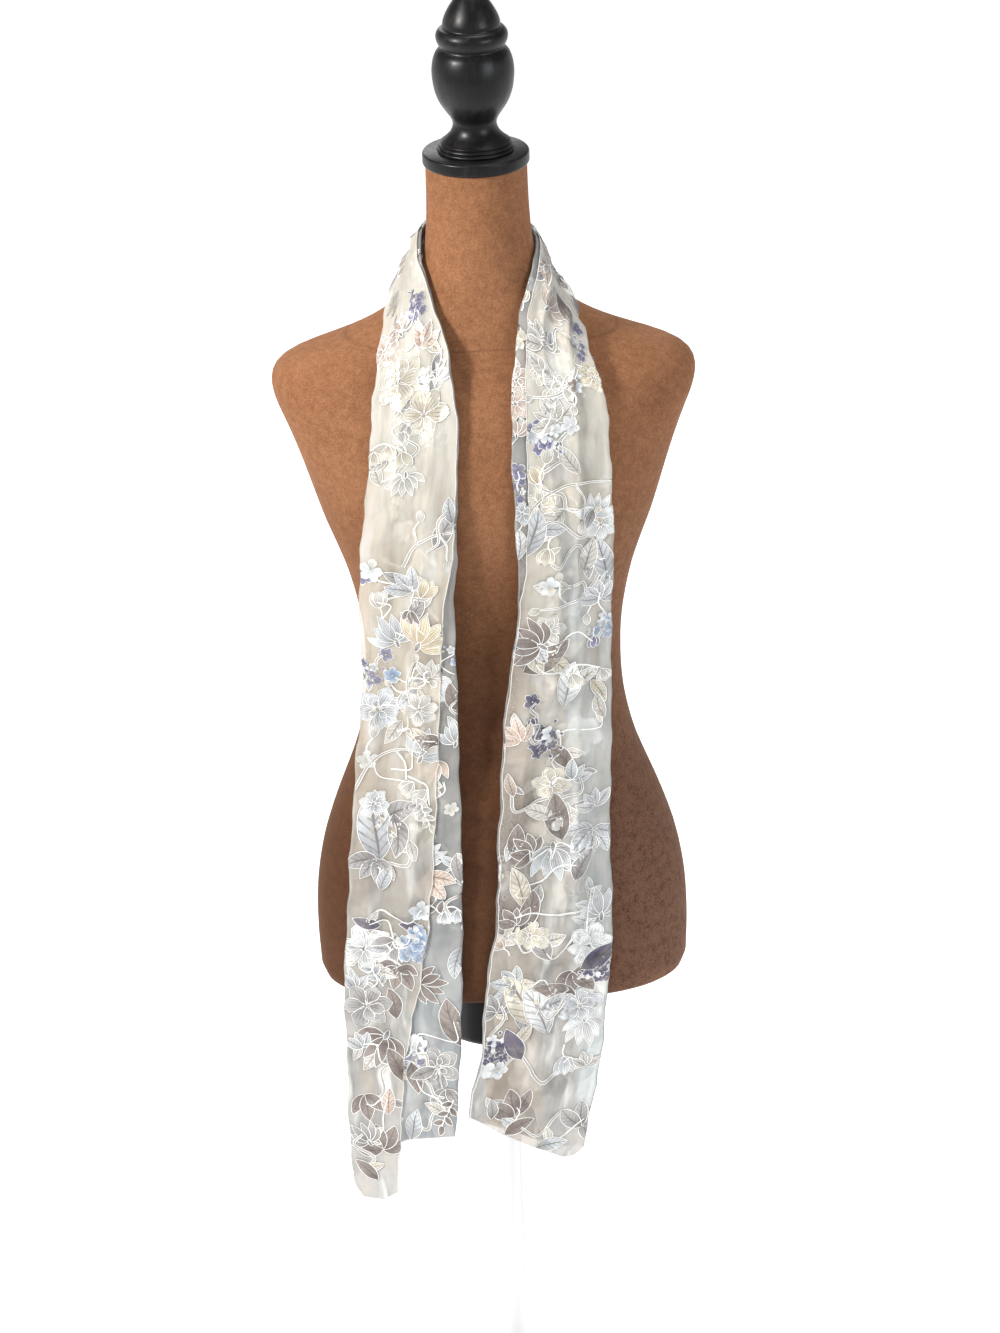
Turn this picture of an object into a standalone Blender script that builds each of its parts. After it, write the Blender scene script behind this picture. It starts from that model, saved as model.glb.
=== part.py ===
"""Long chiffon scarf hung round the neck of a limbless dress form.

The form is a padded torso on a round stand: a weighted base, a slim pole, a collar under the
torso, a plate on the neck and a turned finial. The scarf is one strip of cloth, folded
lengthwise in three layers. It lies round the back of the neck and its two ends hang down the
front. It is modelled as three stretches: the left fall, the neck wrap and the right fall.

+Z is up, -Y is the front, +X is the viewer's right, and the origin is under the base's middle.
"""
import math
from collections import namedtuple

import bmesh
import bpy
from mathutils import Vector

MM = 0.001
GAP = 0.3 * MM

# Stand
FORM_UNDERSIDE = 470 * MM
BASE_RADIUS = 150 * MM
BASE_THICKNESS = 14 * MM
SOCKET_RADIUS = 24 * MM
SOCKET_HEIGHT = 30 * MM
POLE_RADIUS = 9.5 * MM
COLLAR_RADIUS = 58 * MM
COLLAR_HEIGHT = 55 * MM
TURNED_STEPS = 32

# Torso: one row for each level, in millimetres above the form's underside
TORSO_STEPS = 36
Level = namedtuple("Level", "height half_width front back squareness")
TORSO = [
    Level(0, 150, 82, 80, 2.5),
    Level(4, 156, 87, 86, 2.5),
    Level(14, 160, 91, 89, 2.5),
    Level(40, 161.5, 92, 93, 2.5),
    Level(85, 160.5, 93, 96, 2.5),
    Level(130, 152.5, 93, 95, 2.4),
    Level(175, 137, 90, 88, 2.4),
    Level(215, 121.5, 85, 78, 2.3),
    Level(258, 112, 80, 71, 2.3),
    Level(295, 110, 79, 68, 2.3),
    Level(335, 112.5, 82, 69, 2.3),
    Level(385, 123.5, 91, 74, 2.3),
    Level(430, 140.5, 101, 82, 2.3),
    Level(475, 154.5, 106, 90, 2.3),
    Level(510, 166.5, 103, 95, 2.3),
    Level(540, 179, 96, 92, 2.3),
    Level(556, 182, 88, 86, 2.3),
    Level(568, 177, 80, 76, 2.3),
    Level(577, 162, 72, 66, 2.25),
    Level(588, 124, 64, 60, 2.2),
    Level(605, 87, 58, 58, 2.1),
    Level(632, 57, 50, 52, 2.0),
    Level(664, 46.5, 45.5, 46, 2.0),
    Level(700, 43.5, 43.5, 43.5, 2.0),
    Level(739, 43, 43, 43, 2.0),
]

# Turned pieces on the neck, in millimetres above the form's underside
NECK_PLATE_RADIUS = 45.2 * MM
NECK_PLATE_THICKNESS = 11 * MM
Turning = namedtuple("Turning", "radius height")
FINIAL = [
    Turning(32, 750.6), Turning(33, 752), Turning(32, 753.5), Turning(31, 753.8),
    Turning(31.6, 755.2), Turning(30.6, 756.8), Turning(29.4, 757.2), Turning(29.6, 758.6),
    Turning(27.5, 760.2), Turning(21.5, 766), Turning(18.6, 773), Turning(20, 779.5),
    Turning(25, 787), Turning(29.8, 795), Turning(33.2, 805), Turning(34.8, 818),
    Turning(34, 828), Turning(31.5, 836), Turning(27.6, 841), Turning(28.4, 843.5),
    Turning(30.2, 848), Turning(30.2, 853), Turning(27.6, 857), Turning(24.4, 858.6),
    Turning(24.2, 863), Turning(21.8, 870), Turning(16.6, 879), Turning(9.5, 887.5),
    Turning(0, 892),
]

# Scarf, folded lengthwise in three layers of chiffon
WALL = 1.0 * MM
LAYER_PITCH = 1.8 * MM
CLEAR_OF_FORM = 1.25 * MM
LAYER_POINTS = 5
BEND_POINTS = 5
NECK_ROWS = 3

# One row across the folded strip, in millimetres: the edge by the neck opening (in), the edge
# away from it (out), and the shares of the width that the front and rear layers cover.
Station = namedtuple("Station", "in_x in_y in_z out_x out_y out_z front_reach rear_reach")
LEFT_FALL = [
    Station(-50, -92, -195, -136, -76, -195, 0.41, 0.85),
    Station(-47, -92, -120, -140, -76, -120, 0.49, 0.85),
    Station(-41, -93, -50, -139, -76, -50, 0.52, 0.80),
    Station(-37, -96, 20, -139, -77, 20, 0.64, 0.72),
    Station(-34, -97, 90, -133, -78, 90, 0.72, 0.68),
    Station(-32, -97, 150, -128, -79, 150, 0.75, 0.70),
    Station(-32, -98, 230, -120, -81, 230, 0.80, 0.75),
    Station(-31, -101, 300, -112, -83, 300, 0.83, 0.85),
    Station(-31, -105, 375, -111, -86, 375, 0.90, 0.90),
    Station(-27, -108, 430, -108, -88, 430, 0.97, 0.90),
    Station(-25, -108, 480, -102, -91, 478, 0.99, 0.90),
    Station(-22, -101, 530, -97, -91, 520, 0.99, 0.92),
    Station(-24, -90, 568, -95, -86, 550, 0.99, 0.94),
    Station(-29, -72, 600, -91, -78, 570, 0.99, 0.95),
    Station(-36, -52, 622, -87, -66, 586, 0.99, 0.95),
    Station(-42, -36, 640, -82, -48, 600, 0.98, 0.95),
    Station(-47, -20, 657, -77, -25, 615, 0.97, 0.95),
    Station(-47, -4, 672, -71, 0, 629, 0.96, 0.95),
    Station(-45, 14, 677, -61, 20, 634, 0.96, 0.95),
    Station(-34, 34, 680, -45, 46, 634, 0.96, 0.95),
]
NECK_BACK = Station(0, 47, 680, 0, 60, 632, 0.96, 0.94)
RIGHT_FALL = [
    Station(34, 34, 676, 44, 46, 628, 0.96, 0.93),
    Station(45, 14, 671, 57, 18, 622, 0.96, 0.92),
    Station(46, -4, 667, 67, 0, 614, 0.95, 0.90),
    Station(44, -22, 658, 76, -22, 605, 0.93, 0.87),
    Station(38, -39, 641, 84, -44, 598, 0.91, 0.84),
    Station(32, -54, 622, 88, -60, 588, 0.90, 0.81),
    Station(27, -72, 600, 94, -74, 575, 0.88, 0.78),
    Station(23, -90, 568, 101, -81, 558, 0.86, 0.74),
    Station(21, -101, 530, 103, -87, 525, 0.85, 0.75),
    Station(21, -108, 480, 104, -90, 480, 0.855, 0.77),
    Station(22, -108, 430, 104, -88, 430, 0.90, 0.75),
    Station(22, -105, 375, 101, -86, 375, 0.99, 0.67),
    Station(10, -102, 300, 99, -84, 300, 0.99, 0.68),
    Station(3, -100, 230, 97, -82, 230, 0.99, 0.65),
    Station(-3, -99, 150, 94, -80, 150, 0.99, 0.62),
    Station(-6, -98, 90, 93, -80, 90, 0.99, 0.60),
    Station(-17, -96, 20, 89, -80, 20, 0.99, 0.62),
    Station(-24, -93, -50, 82, -80, -50, 0.99, 0.65),
    Station(-36, -92, -100, 72, -80, -100, 0.99, 0.70),
    Station(-22, -90, -155, 60, -80, -155, 0.99, 0.75),
]
SCARF = LEFT_FALL + [NECK_BACK] + RIGHT_FALL
BACK_INDEX = len(LEFT_FALL)

# Where each layer ends at the hems. The place counts along the folded strip: 0 is the front
# layer's free edge, 1 the outer fold, 2 the inner fold and 3 the rear layer's free edge.
HemPoint = namedtuple("HemPoint", "place height")
LEFT_HEM = [
    HemPoint(0, -177), HemPoint(0.3, -185), HemPoint(0.8, -183), HemPoint(0.95, -174),
    HemPoint(1, -166), HemPoint(1.3, -136), HemPoint(1.55, -127), HemPoint(2, -122),
    HemPoint(2.4, -125), HemPoint(3, -132),
]
RIGHT_HEM = [
    HemPoint(0, -104), HemPoint(0.25, -123), HemPoint(0.5, -137), HemPoint(0.8, -149),
    HemPoint(0.92, -148), HemPoint(1, -140), HemPoint(1.3, -138), HemPoint(1.7, -118),
    HemPoint(2, -105), HemPoint(2.5, -116), HemPoint(3, -128),
]
HANG_ROWS = 3
UPPER_RINGS = 22
LOWER_RINGS = 8
WRAP_RINGS = 14

# Soft lengthwise folds in the falls, and the gathers at the neck
FOLD_DEPTH = 2.2 * MM
FOLD_COUNT = 1.6
GATHER_DEPTH = 2.6 * MM
GATHER_COUNT = 2.5
GATHER_SPREAD = 3.5


def clear_scene():
    for obj in list(bpy.data.objects):
        bpy.data.objects.remove(obj, do_unlink=True)


def make_material(name, colour, roughness, metallic=0.0):
    material = bpy.data.materials.new(name)
    material.use_nodes = True
    shader = material.node_tree.nodes["Principled BSDF"]
    shader.inputs["Base Color"].default_value = (*colour, 1.0)
    shader.inputs["Roughness"].default_value = roughness
    shader.inputs["Metallic"].default_value = metallic
    return material


def add_object(name, mesh, material):
    mesh.materials.append(material)
    mesh.shade_smooth()
    mesh.set_sharp_from_angle(angle=math.radians(40))
    obj = bpy.data.objects.new(name, mesh)
    bpy.context.scene.collection.objects.link(obj)
    return obj


def loft(name, rings):
    """A closed skin over equal rings of points; each end is a strip across its ring."""
    bm = bmesh.new()
    loops = [[bm.verts.new(point) for point in ring] for ring in rings]
    count = len(rings[0])
    for low, high in zip(loops, loops[1:]):
        for i in range(count):
            j = (i + 1) % count
            bm.faces.new((low[i], low[j], high[j], high[i]))
    for end in (loops[0], loops[-1]):
        for i in range(count // 2 - 1):
            bm.faces.new((end[i], end[i + 1], end[-2 - i], end[-1 - i]))
    bmesh.ops.triangulate(bm, faces=bm.faces)
    bmesh.ops.recalc_face_normals(bm, faces=bm.faces)
    mesh = bpy.data.meshes.new(name)
    bm.to_mesh(mesh)
    bm.free()
    return mesh


def turn(name, profile):
    """A closed turned solid. The profile is (radius, height) pairs from the bottom up."""
    bm = bmesh.new()
    loops = []
    for radius, height in profile:
        if radius == 0:
            loops.append([bm.verts.new((0, 0, height))])
            continue
        angles = [2 * math.pi * i / TURNED_STEPS for i in range(TURNED_STEPS)]
        loops.append([
            bm.verts.new((radius * math.cos(a), radius * math.sin(a), height)) for a in angles
        ])
    for low, high in zip(loops, loops[1:]):
        for i in range(TURNED_STEPS):
            j = (i + 1) % TURNED_STEPS
            if len(high) == 1:
                bm.faces.new((low[i], low[j], high[0]))
            else:
                bm.faces.new((low[i], low[j], high[j], high[i]))
    bm.faces.new(loops[0][::-1])
    if len(loops[-1]) > 1:
        bm.faces.new(loops[-1])
    mesh = bpy.data.meshes.new(name)
    bm.to_mesh(mesh)
    bm.free()
    return mesh


def smooth_between(keys, values, at):
    """A smooth curve through the values, each given at its key, read at one place."""
    last = len(keys) - 1
    i = 0
    while i < last - 1 and keys[i + 1] < at:
        i += 1
    span = keys[i + 1] - keys[i]
    t = min(max((at - keys[i]) / span, 0.0), 1.0)

    def slope(k):
        a, b = max(k - 1, 0), min(k + 1, last)
        return (values[b] - values[a]) / (keys[b] - keys[a]) * span

    rise = values[i + 1] - values[i]
    start, end = slope(i), slope(i + 1)
    return values[i] + t * start + t * t * (
        3 * rise - 2 * start - end + t * (start + end - 2 * rise)
    )


# ---- Torso ------------------------------------------------------------------------------

TORSO_HEIGHTS = [level.height for level in TORSO]


def torso_level(height):
    columns = list(zip(*TORSO))
    return Level(*(smooth_between(TORSO_HEIGHTS, column, height) for column in columns))


def torso_radius(level, angle):
    """How far the skin lies from the axis in one direction, in millimetres."""
    depth = level.back if math.sin(angle) > 0 else level.front
    across = abs(math.cos(angle) / level.half_width) ** level.squareness
    along = abs(math.sin(angle) / depth) ** level.squareness
    return (across + along) ** (-1 / level.squareness)


def make_torso(material):
    heights = []
    for low, high in zip(TORSO_HEIGHTS, TORSO_HEIGHTS[1:]):
        heights.append(low)
        if high - low > 30:
            heights.append((low + high) / 2)
    heights.append(TORSO_HEIGHTS[-1])
    rings = []
    for height in heights:
        level = torso_level(height)
        ring = []
        for i in range(TORSO_STEPS):
            # the points crowd towards the sides, where the skin turns hardest
            angle = 2 * math.pi * i / TORSO_STEPS
            angle = math.atan2(math.sin(angle) * level.front, math.cos(angle) * level.half_width)
            radius = torso_radius(level, angle) * MM
            ring.append((
                radius * math.cos(angle), radius * math.sin(angle), FORM_UNDERSIDE + height * MM,
            ))
        rings.append(ring)
    return add_object("torso", loft("torso", rings), material)


# ---- Stand, neck plate and finial -------------------------------------------------------

def make_stand(black, steel):
    bevel = 3 * MM
    base = [
        (BASE_RADIUS - bevel, 0),
        (BASE_RADIUS, bevel),
        (BASE_RADIUS, BASE_THICKNESS - 2 * bevel),
        (BASE_RADIUS - 2 * bevel, BASE_THICKNESS),
    ]
    add_object("base", turn("base", base), black)
    socket_bottom = BASE_THICKNESS + GAP
    socket_top = socket_bottom + SOCKET_HEIGHT
    socket = [
        (SOCKET_RADIUS, socket_bottom),
        (SOCKET_RADIUS, socket_top - bevel),
        (SOCKET_RADIUS - bevel, socket_top),
    ]
    add_object("pole_socket", turn("pole_socket", socket), black)
    collar_top = FORM_UNDERSIDE - GAP
    collar_bottom = collar_top - COLLAR_HEIGHT
    pole = [
        (POLE_RADIUS, socket_top + GAP),
        (POLE_RADIUS, collar_bottom - GAP),
    ]
    add_object("pole", turn("pole", pole), steel)
    edge = 2.5 * MM
    collar = [
        (COLLAR_RADIUS - 2 * edge, collar_bottom),
        (COLLAR_RADIUS - edge / 2, collar_bottom + edge / 2),
        (COLLAR_RADIUS, collar_bottom + 2 * edge),
        (COLLAR_RADIUS, collar_top),
    ]
    add_object("collar", turn("collar", collar), black)


def make_neck_pieces(black):
    bottom = FORM_UNDERSIDE + TORSO[-1].height * MM + GAP
    edge = 1.2 * MM
    radius = NECK_PLATE_RADIUS
    top = bottom + NECK_PLATE_THICKNESS
    plate = [
        (radius - edge, bottom), (radius, bottom + edge), (radius, top - edge), (radius - edge, top),
    ]
    add_object("neck_plate", turn("neck_plate", plate), black)
    finial = [(p.radius * MM, FORM_UNDERSIDE + p.height * MM) for p in FINIAL]
    add_object("finial", turn("finial", finial), black)


# ---- Scarf ------------------------------------------------------------------------------

SCARF_KEYS = list(range(len(SCARF)))
SCARF_COLUMNS = list(zip(*SCARF))


def station(index):
    return Station(*(smooth_between(SCARF_KEYS, column, index) for column in SCARF_COLUMNS))


def clear_of_form(point):
    """Move a point out from the axis until it is clear of the torso's skin."""
    height = (point.z - FORM_UNDERSIDE) / MM
    if height < 0:
        return point
    angle = math.atan2(point.y, point.x)
    least = torso_radius(torso_level(height), angle) * MM + CLEAR_OF_FORM
    radius = math.hypot(point.x, point.y)
    if radius >= least:
        return point
    return Vector((point.x * least / radius, point.y * least / radius, point.z))


def fold_depth(index, across):
    """How far the soft folds and gathers lift the strip off the form."""
    from_back = index - BACK_INDEX
    gather = math.exp(-((from_back / GATHER_SPREAD) ** 2))
    fall = 1 - gather
    drift = 0.12 * from_back
    folds = 0.5 + 0.5 * math.cos(2 * math.pi * (FOLD_COUNT * across + drift))
    gathers = 0.5 - 0.5 * math.cos(2 * math.pi * GATHER_COUNT * across)
    return FOLD_DEPTH * fall * folds + GATHER_DEPTH * gather * gathers


def strip_point(index, across):
    """A point on the innermost layer: across is 0 at the inner edge and 1 at the outer."""
    row = station(index)
    inner = Vector((row.in_x, row.in_y, row.in_z)) * MM
    outer = Vector((row.out_x, row.out_y, row.out_z)) * MM
    point = inner.lerp(outer, across)
    point.z += FORM_UNDERSIDE
    return clear_of_form(point)


def strip_normal(index, across):
    step = 0.05
    last = len(SCARF) - 1
    along = strip_point(min(index + step, last), across) - strip_point(max(index - step, 0), across)
    over = strip_point(index, min(across + step, 1)) - strip_point(index, max(across - step, 0))
    return along.cross(over).normalized()


def index_at_height(height, side):
    """Where the hanging part of a fall is at one height above the form's underside."""
    heights = [row.in_z for row in SCARF]
    i = 0 if side < 0 else len(SCARF) - 1
    while heights[i] < height:
        i -= side
    if heights[i] == height:
        return i
    return i + side * (heights[i] - height) / (heights[i] - heights[i + side])


def section_line(index):
    """The folded strip's middle line in its own plane, as (place, distance across, lift)."""
    row = station(index)
    width = (Vector(row[3:6]) - Vector(row[0:3])).length * MM
    bend = LAYER_PITCH / 2
    front = row.front_reach * width
    rear = row.rear_reach * width
    line = []

    def layer(place, start, end, lift):
        for k in range(LAYER_POINTS):
            t = k / (LAYER_POINTS - 1)
            line.append((place + t, start + t * (end - start), lift))

    def turn_back(place, centre, lift, direction):
        for k in range(1, BEND_POINTS - 1):
            a = math.pi * k / (BEND_POINTS - 1)
            line.append((place, centre + direction * bend * math.sin(a), lift + bend * math.cos(a)))

    layer(0, width - front, width - bend, 2 * LAYER_PITCH)
    turn_back(1, width - bend, 1.5 * LAYER_PITCH, 1)
    layer(1, width - bend, bend, LAYER_PITCH)
    turn_back(2, bend, 0.5 * LAYER_PITCH, -1)
    layer(2, bend, rear, 0)
    return width, line


def wall_section(index):
    """Both faces of the wall round the section line: (place, share across, lift)."""
    width, line = section_line(index)
    faces = ([], [])
    for k, (place, across, lift) in enumerate(line):
        before = line[max(k - 1, 0)]
        after = line[min(k + 1, len(line) - 1)]
        run = Vector((after[1] - before[1], after[2] - before[2])).normalized()
        for face, side in zip(faces, (1, -1)):
            offset = side * WALL / 2
            face.append((place, (across - run.y * offset) / width, lift + run.x * offset))
    return faces[0] + faces[1][::-1]


def scarf_point(index, across, lift):
    edge = min(max(across, 0.0), 1.0)
    point = strip_point(index, edge)
    beyond = (across - edge) * (strip_point(index, 1) - strip_point(index, 0))
    rise = lift + WALL / 2 + fold_depth(index, edge)
    return point + beyond + strip_normal(index, edge) * rise


def section_ring(index, drawn_back=0.0):
    """The wall's outline at one index. Drawn back, it leaves a gap at the seam there."""
    ring = [scarf_point(index, across, lift) for _, across, lift in wall_section(index)]
    if drawn_back:
        step = math.copysign(0.1, drawn_back)
        run = strip_point(index + step, 0.5) - strip_point(index, 0.5)
        ring = [point + run.normalized() * GAP / 2 for point in ring]
    return ring


def make_fall(name, side, hem, material):
    """One hanging end, from beside the neck down to its hem."""
    top = BACK_INDEX + side * NECK_ROWS
    hang = HANG_ROWS if side < 0 else len(SCARF) - 1 - HANG_ROWS
    places = [point.place for point in hem]
    heights = [point.height for point in hem]
    rings = [section_ring(top, side)]
    for k in range(1, UPPER_RINGS):
        rings.append(section_ring(top + (hang - top) * k / UPPER_RINGS))
    ring_places = [place for place, _, _ in wall_section(hang)]
    ends = [index_at_height(smooth_between(places, heights, place), side) for place in ring_places]
    for k in range(LOWER_RINGS + 1):
        ring = []
        for number, end in enumerate(ends):
            index = hang + (end - hang) * k / LOWER_RINGS
            _, across, lift = wall_section(index)[number]
            ring.append(scarf_point(index, across, lift))
        rings.append(ring)
    return add_object(name, loft(name, rings), material)


def make_neck_wrap(material):
    start = BACK_INDEX - NECK_ROWS
    end = BACK_INDEX + NECK_ROWS
    rings = [section_ring(start, 1)]
    for k in range(1, WRAP_RINGS):
        rings.append(section_ring(start + (end - start) * k / WRAP_RINGS))
    rings.append(section_ring(end, -1))
    return add_object("neck_wrap", loft("neck_wrap", rings), material)


clear_scene()
suede = make_material("brown_suede", (0.262, 0.112, 0.056), 0.85)
black_wood = make_material("black_satin_wood", (0.012, 0.012, 0.013), 0.35)
satin_steel = make_material("satin_steel", (0.62, 0.62, 0.62), 0.3, 1.0)
chiffon = make_material("ivory_chiffon", (0.72, 0.69, 0.62), 0.45)

make_torso(suede)
make_stand(black_wood, satin_steel)
make_neck_pieces(black_wood)
make_fall("left_fall", -1, LEFT_HEM, chiffon)
make_neck_wrap(chiffon)
make_fall("right_fall", 1, RIGHT_HEM, chiffon)
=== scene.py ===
import math
import random

import bmesh
import bpy
import numpy as np
from mathutils import Matrix, Vector
from mathutils.bvhtree import BVHTree


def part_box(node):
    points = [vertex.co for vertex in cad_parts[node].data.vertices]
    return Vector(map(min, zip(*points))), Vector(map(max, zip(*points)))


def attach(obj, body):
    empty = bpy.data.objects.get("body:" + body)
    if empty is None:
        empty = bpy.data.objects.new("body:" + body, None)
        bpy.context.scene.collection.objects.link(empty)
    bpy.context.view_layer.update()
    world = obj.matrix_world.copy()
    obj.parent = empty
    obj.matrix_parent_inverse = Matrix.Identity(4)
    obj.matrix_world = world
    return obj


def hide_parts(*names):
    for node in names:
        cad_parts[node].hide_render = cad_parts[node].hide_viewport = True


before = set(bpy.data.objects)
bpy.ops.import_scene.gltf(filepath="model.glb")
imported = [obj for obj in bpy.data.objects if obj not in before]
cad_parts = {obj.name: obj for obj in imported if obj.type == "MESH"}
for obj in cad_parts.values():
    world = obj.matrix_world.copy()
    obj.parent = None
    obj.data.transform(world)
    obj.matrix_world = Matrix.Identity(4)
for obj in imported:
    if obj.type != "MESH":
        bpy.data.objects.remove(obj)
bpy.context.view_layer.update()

# ---- The studio -------------------------------------------------------------------------
# A pale sweep of floor under soft lamps. The camera stands well back with a long lens, looks
# down a little on the form, and is turned slightly, so the form seems to lean.

MM = 0.001
form_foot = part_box("torso")[0][2]

look_at = Vector((5.3 * MM, 0, form_foot + 281 * MM))
camera_distance = 6.4
camera_height_angle = math.radians(22)
camera_roll = math.radians(-2)

camera_data = bpy.data.cameras.new("camera")
camera_data.lens = 200
camera_data.sensor_width = 36
camera_data.clip_end = 60
camera = bpy.data.objects.new("camera", camera_data)
bpy.context.scene.collection.objects.link(camera)
tilt = Matrix.Rotation(math.pi / 2 - camera_height_angle, 4, "X") @ Matrix.Rotation(camera_roll, 4, "Z")
away = Vector((0, -math.cos(camera_height_angle), math.sin(camera_height_angle)))
camera.matrix_world = Matrix.Translation(look_at + away * camera_distance) @ tilt
bpy.context.scene.camera = camera
bpy.context.scene.view_settings.view_transform = "Standard"


def add_lamp(name, place, aim, size, power, colour=(1, 1, 1)):
    data = bpy.data.lights.new(name, "AREA")
    data.size = size
    data.energy = power
    data.color = colour
    lamp = bpy.data.objects.new(name, data)
    lamp.location = place
    lamp.rotation_euler = (Vector(aim) - Vector(place)).to_track_quat("-Z", "Y").to_euler()
    bpy.context.scene.collection.objects.link(lamp)


chest = (0, 0, form_foot + 0.45)
add_lamp("key_lamp", (-2.3, -1.5, 2.7), chest, 0.55, 126, (1, 0.98, 0.955))
add_lamp("fill_lamp", (2.2, -2.2, 1.9), chest, 1.3, 36, (0.9, 0.95, 1))
add_lamp("top_lamp", (0.3, 0.2, 3.4), chest, 1.0, 26)
add_lamp("back_lamp", (-0.4, 3.0, 2.4), chest, 1.8, 26)

world = bpy.data.worlds.new("studio")
world.use_nodes = True
bpy.context.scene.world = world


class Wire:
    """A socket among a material's nodes. Sums on it add Math nodes, node() adds any other."""

    def __init__(self, tree, socket=None):
        self.tree = tree
        self.socket = socket

    def node(self, kind, settings=None, inputs=None, out=0):
        made = self.tree.nodes.new("ShaderNode" + kind)
        for name, value in (settings or {}).items():
            if name == "stops":
                for k, (place, colour) in enumerate(value):
                    ramp = made.color_ramp.elements
                    stop = ramp[k] if k < len(ramp) else ramp.new(place)
                    stop.position = place
                    stop.color = (*colour, 1)
            else:
                setattr(made, name, value)
        for name, value in (inputs or {}).items():
            if isinstance(value, Wire):
                self.tree.links.new(value.socket, made.inputs[name])
            else:
                made.inputs[name].default_value = value
        return Wire(self.tree, made.outputs[out])

    def sum(self, operation, *values):
        return self.node("Math", {"operation": operation}, dict(enumerate(values)))

    def __add__(self, other):
        return self.sum("ADD", self, other)

    __radd__ = __add__

    def __sub__(self, other):
        return self.sum("SUBTRACT", self, other)

    def __rsub__(self, other):
        return self.sum("SUBTRACT", other, self)

    def __mul__(self, other):
        return self.sum("MULTIPLY", self, other)

    __rmul__ = __mul__

    def between(self, low, high):
        """0 where this is at low, 1 where it is at high, and smooth from one to the other."""
        return self.node(
            "MapRange", {"interpolation_type": "SMOOTHSTEP"},
            {"Value": self, "From Min": low, "From Max": high},
        )

    def mix(self, first, second):
        """A colour between two, by this share."""
        first = first if isinstance(first, Wire) else (*first, 1)
        second = second if isinstance(second, Wire) else (*second, 1)
        return self.node("Mix", {"data_type": "RGBA"}, {0: self, 6: first, 7: second}, out=2)

    def axis(self, name):
        return self.node("SeparateXYZ", None, {0: self}, out=name)

    def size(self):
        """How far this is from 0, whichever side it lies on."""
        return self.sum("ABSOLUTE", self)

    def bump(self, strength, distance):
        return self.node("Bump", None, {"Strength": strength, "Distance": distance, "Height": self})

    def noise(self, scale, detail=2.0, stretch=(1, 1, 1)):
        """Cloudy noise on a place wire, with that many clouds in a metre."""
        place = self.node("VectorMath", {"operation": "MULTIPLY"}, {0: self, 1: stretch})
        return self.node("TexNoise", None, {"Vector": place, "Scale": scale, "Detail": detail})


sky = Wire(world.node_tree)
sky_height = sky.node("TexCoord", out="Generated").axis("Z")
horizon = sky.node("Background", None, {"Color": (0.9, 0.9, 0.91, 1)})
overhead = sky.node("Background", None, {"Color": (0.205, 0.21, 0.215, 1)})
sky_blend = sky.node("MixShader", None, {0: sky_height.between(0.04, 0.2), 1: horizon, 2: overhead})
world.node_tree.links.new(sky_blend.socket, world.node_tree.nodes["World Output"].inputs["Surface"])


def new_finish(name, **constants):
    """A material, its wires, each point's place on the piece, and a plug for its shader."""
    material = bpy.data.materials.new(name)
    material.use_nodes = True
    tree = material.node_tree
    shader = tree.nodes["Principled BSDF"]
    for socket, value in constants.items():
        shader.inputs[socket.replace("_", " ")].default_value = value

    def plug(socket, wire):
        tree.links.new(wire.socket, shader.inputs[socket])

    wires = Wire(tree)
    return material, wires, wires.node("TexCoord", out="Object"), plug


# The floor paper glows, which is painted light: brighter and whiter behind the form, dim and greyer in front
# of it.
floor_finish, wires, place, plug = new_finish("floor_paper", Roughness=0.9, Emission_Strength=0.7)
behind = place.axis("Y").between(-1.6, 0.1)
paper = place.noise(3).mix((0.93, 0.93, 0.93), (0.95, 0.95, 0.95))
plug("Base Color", behind.mix((0.8, 0.8, 0.8), paper))
plug("Emission Color", behind.mix((0.28, 0.28, 0.28), (1, 1, 1)))
floor_mesh = bpy.data.meshes.new("floor")
floor_mesh.from_pydata([(-30, -30, 0), (30, -30, 0), (30, 30, 0), (-30, 30, 0)], [], [(0, 1, 2, 3)])
floor_mesh.materials.append(floor_finish)
floor = bpy.data.objects.new("floor", floor_mesh)
bpy.context.scene.collection.objects.link(floor)


# ---- Stand ------------------------------------------------------------------------------
# A round weighted plate of black-coated iron with a socket on it, a plain steel pole, and the
# black collar that the pole screws into under the form.

def node_profile(node):
    """A turned node's outline from the bottom up, as (radius, height) in metres."""
    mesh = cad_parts[node].data
    rings = {}
    for vertex in mesh.vertices:
        radius = math.hypot(vertex.co.x, vertex.co.y)
        rings.setdefault(round(vertex.co.z, 5), set()).add(round(radius, 5))
    return [(radius, height) for height in sorted(rings) for radius in sorted(rings[height])]


def link_piece(name, mesh, material):
    mesh.materials.append(material)
    mesh.shade_smooth()
    piece = bpy.data.objects.new(name, mesh)
    bpy.context.scene.collection.objects.link(piece)
    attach(piece, "root")
    return piece


def turn_piece(name, node, outline, material, steps=96, sharp=40):
    """A piece turned to an outline, in place of its node."""
    bm = bmesh.new()
    loops = []
    for radius, height in outline:
        if radius < 1e-5:
            loops.append([bm.verts.new((0, 0, height))])
            continue
        angles = [2 * math.pi * i / steps for i in range(steps)]
        loops.append([bm.verts.new((radius * math.cos(a), radius * math.sin(a), height)) for a in angles])
    for low, high in zip(loops, loops[1:]):
        for i in range(steps):
            j = (i + 1) % steps
            if len(high) == 1:
                bm.faces.new((low[i], low[j], high[0]))
            else:
                bm.faces.new((low[i], low[j], high[j], high[i]))
    for end, flip in ((loops[0], True), (loops[-1], False)):
        if len(end) > 1:
            bm.faces.new(end[::-1] if flip else end)
    mesh = bpy.data.meshes.new(name)
    bm.to_mesh(mesh)
    bm.free()
    piece = link_piece(name, mesh, material)
    mesh.set_sharp_from_angle(angle=math.radians(sharp))
    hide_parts(node)


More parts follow.
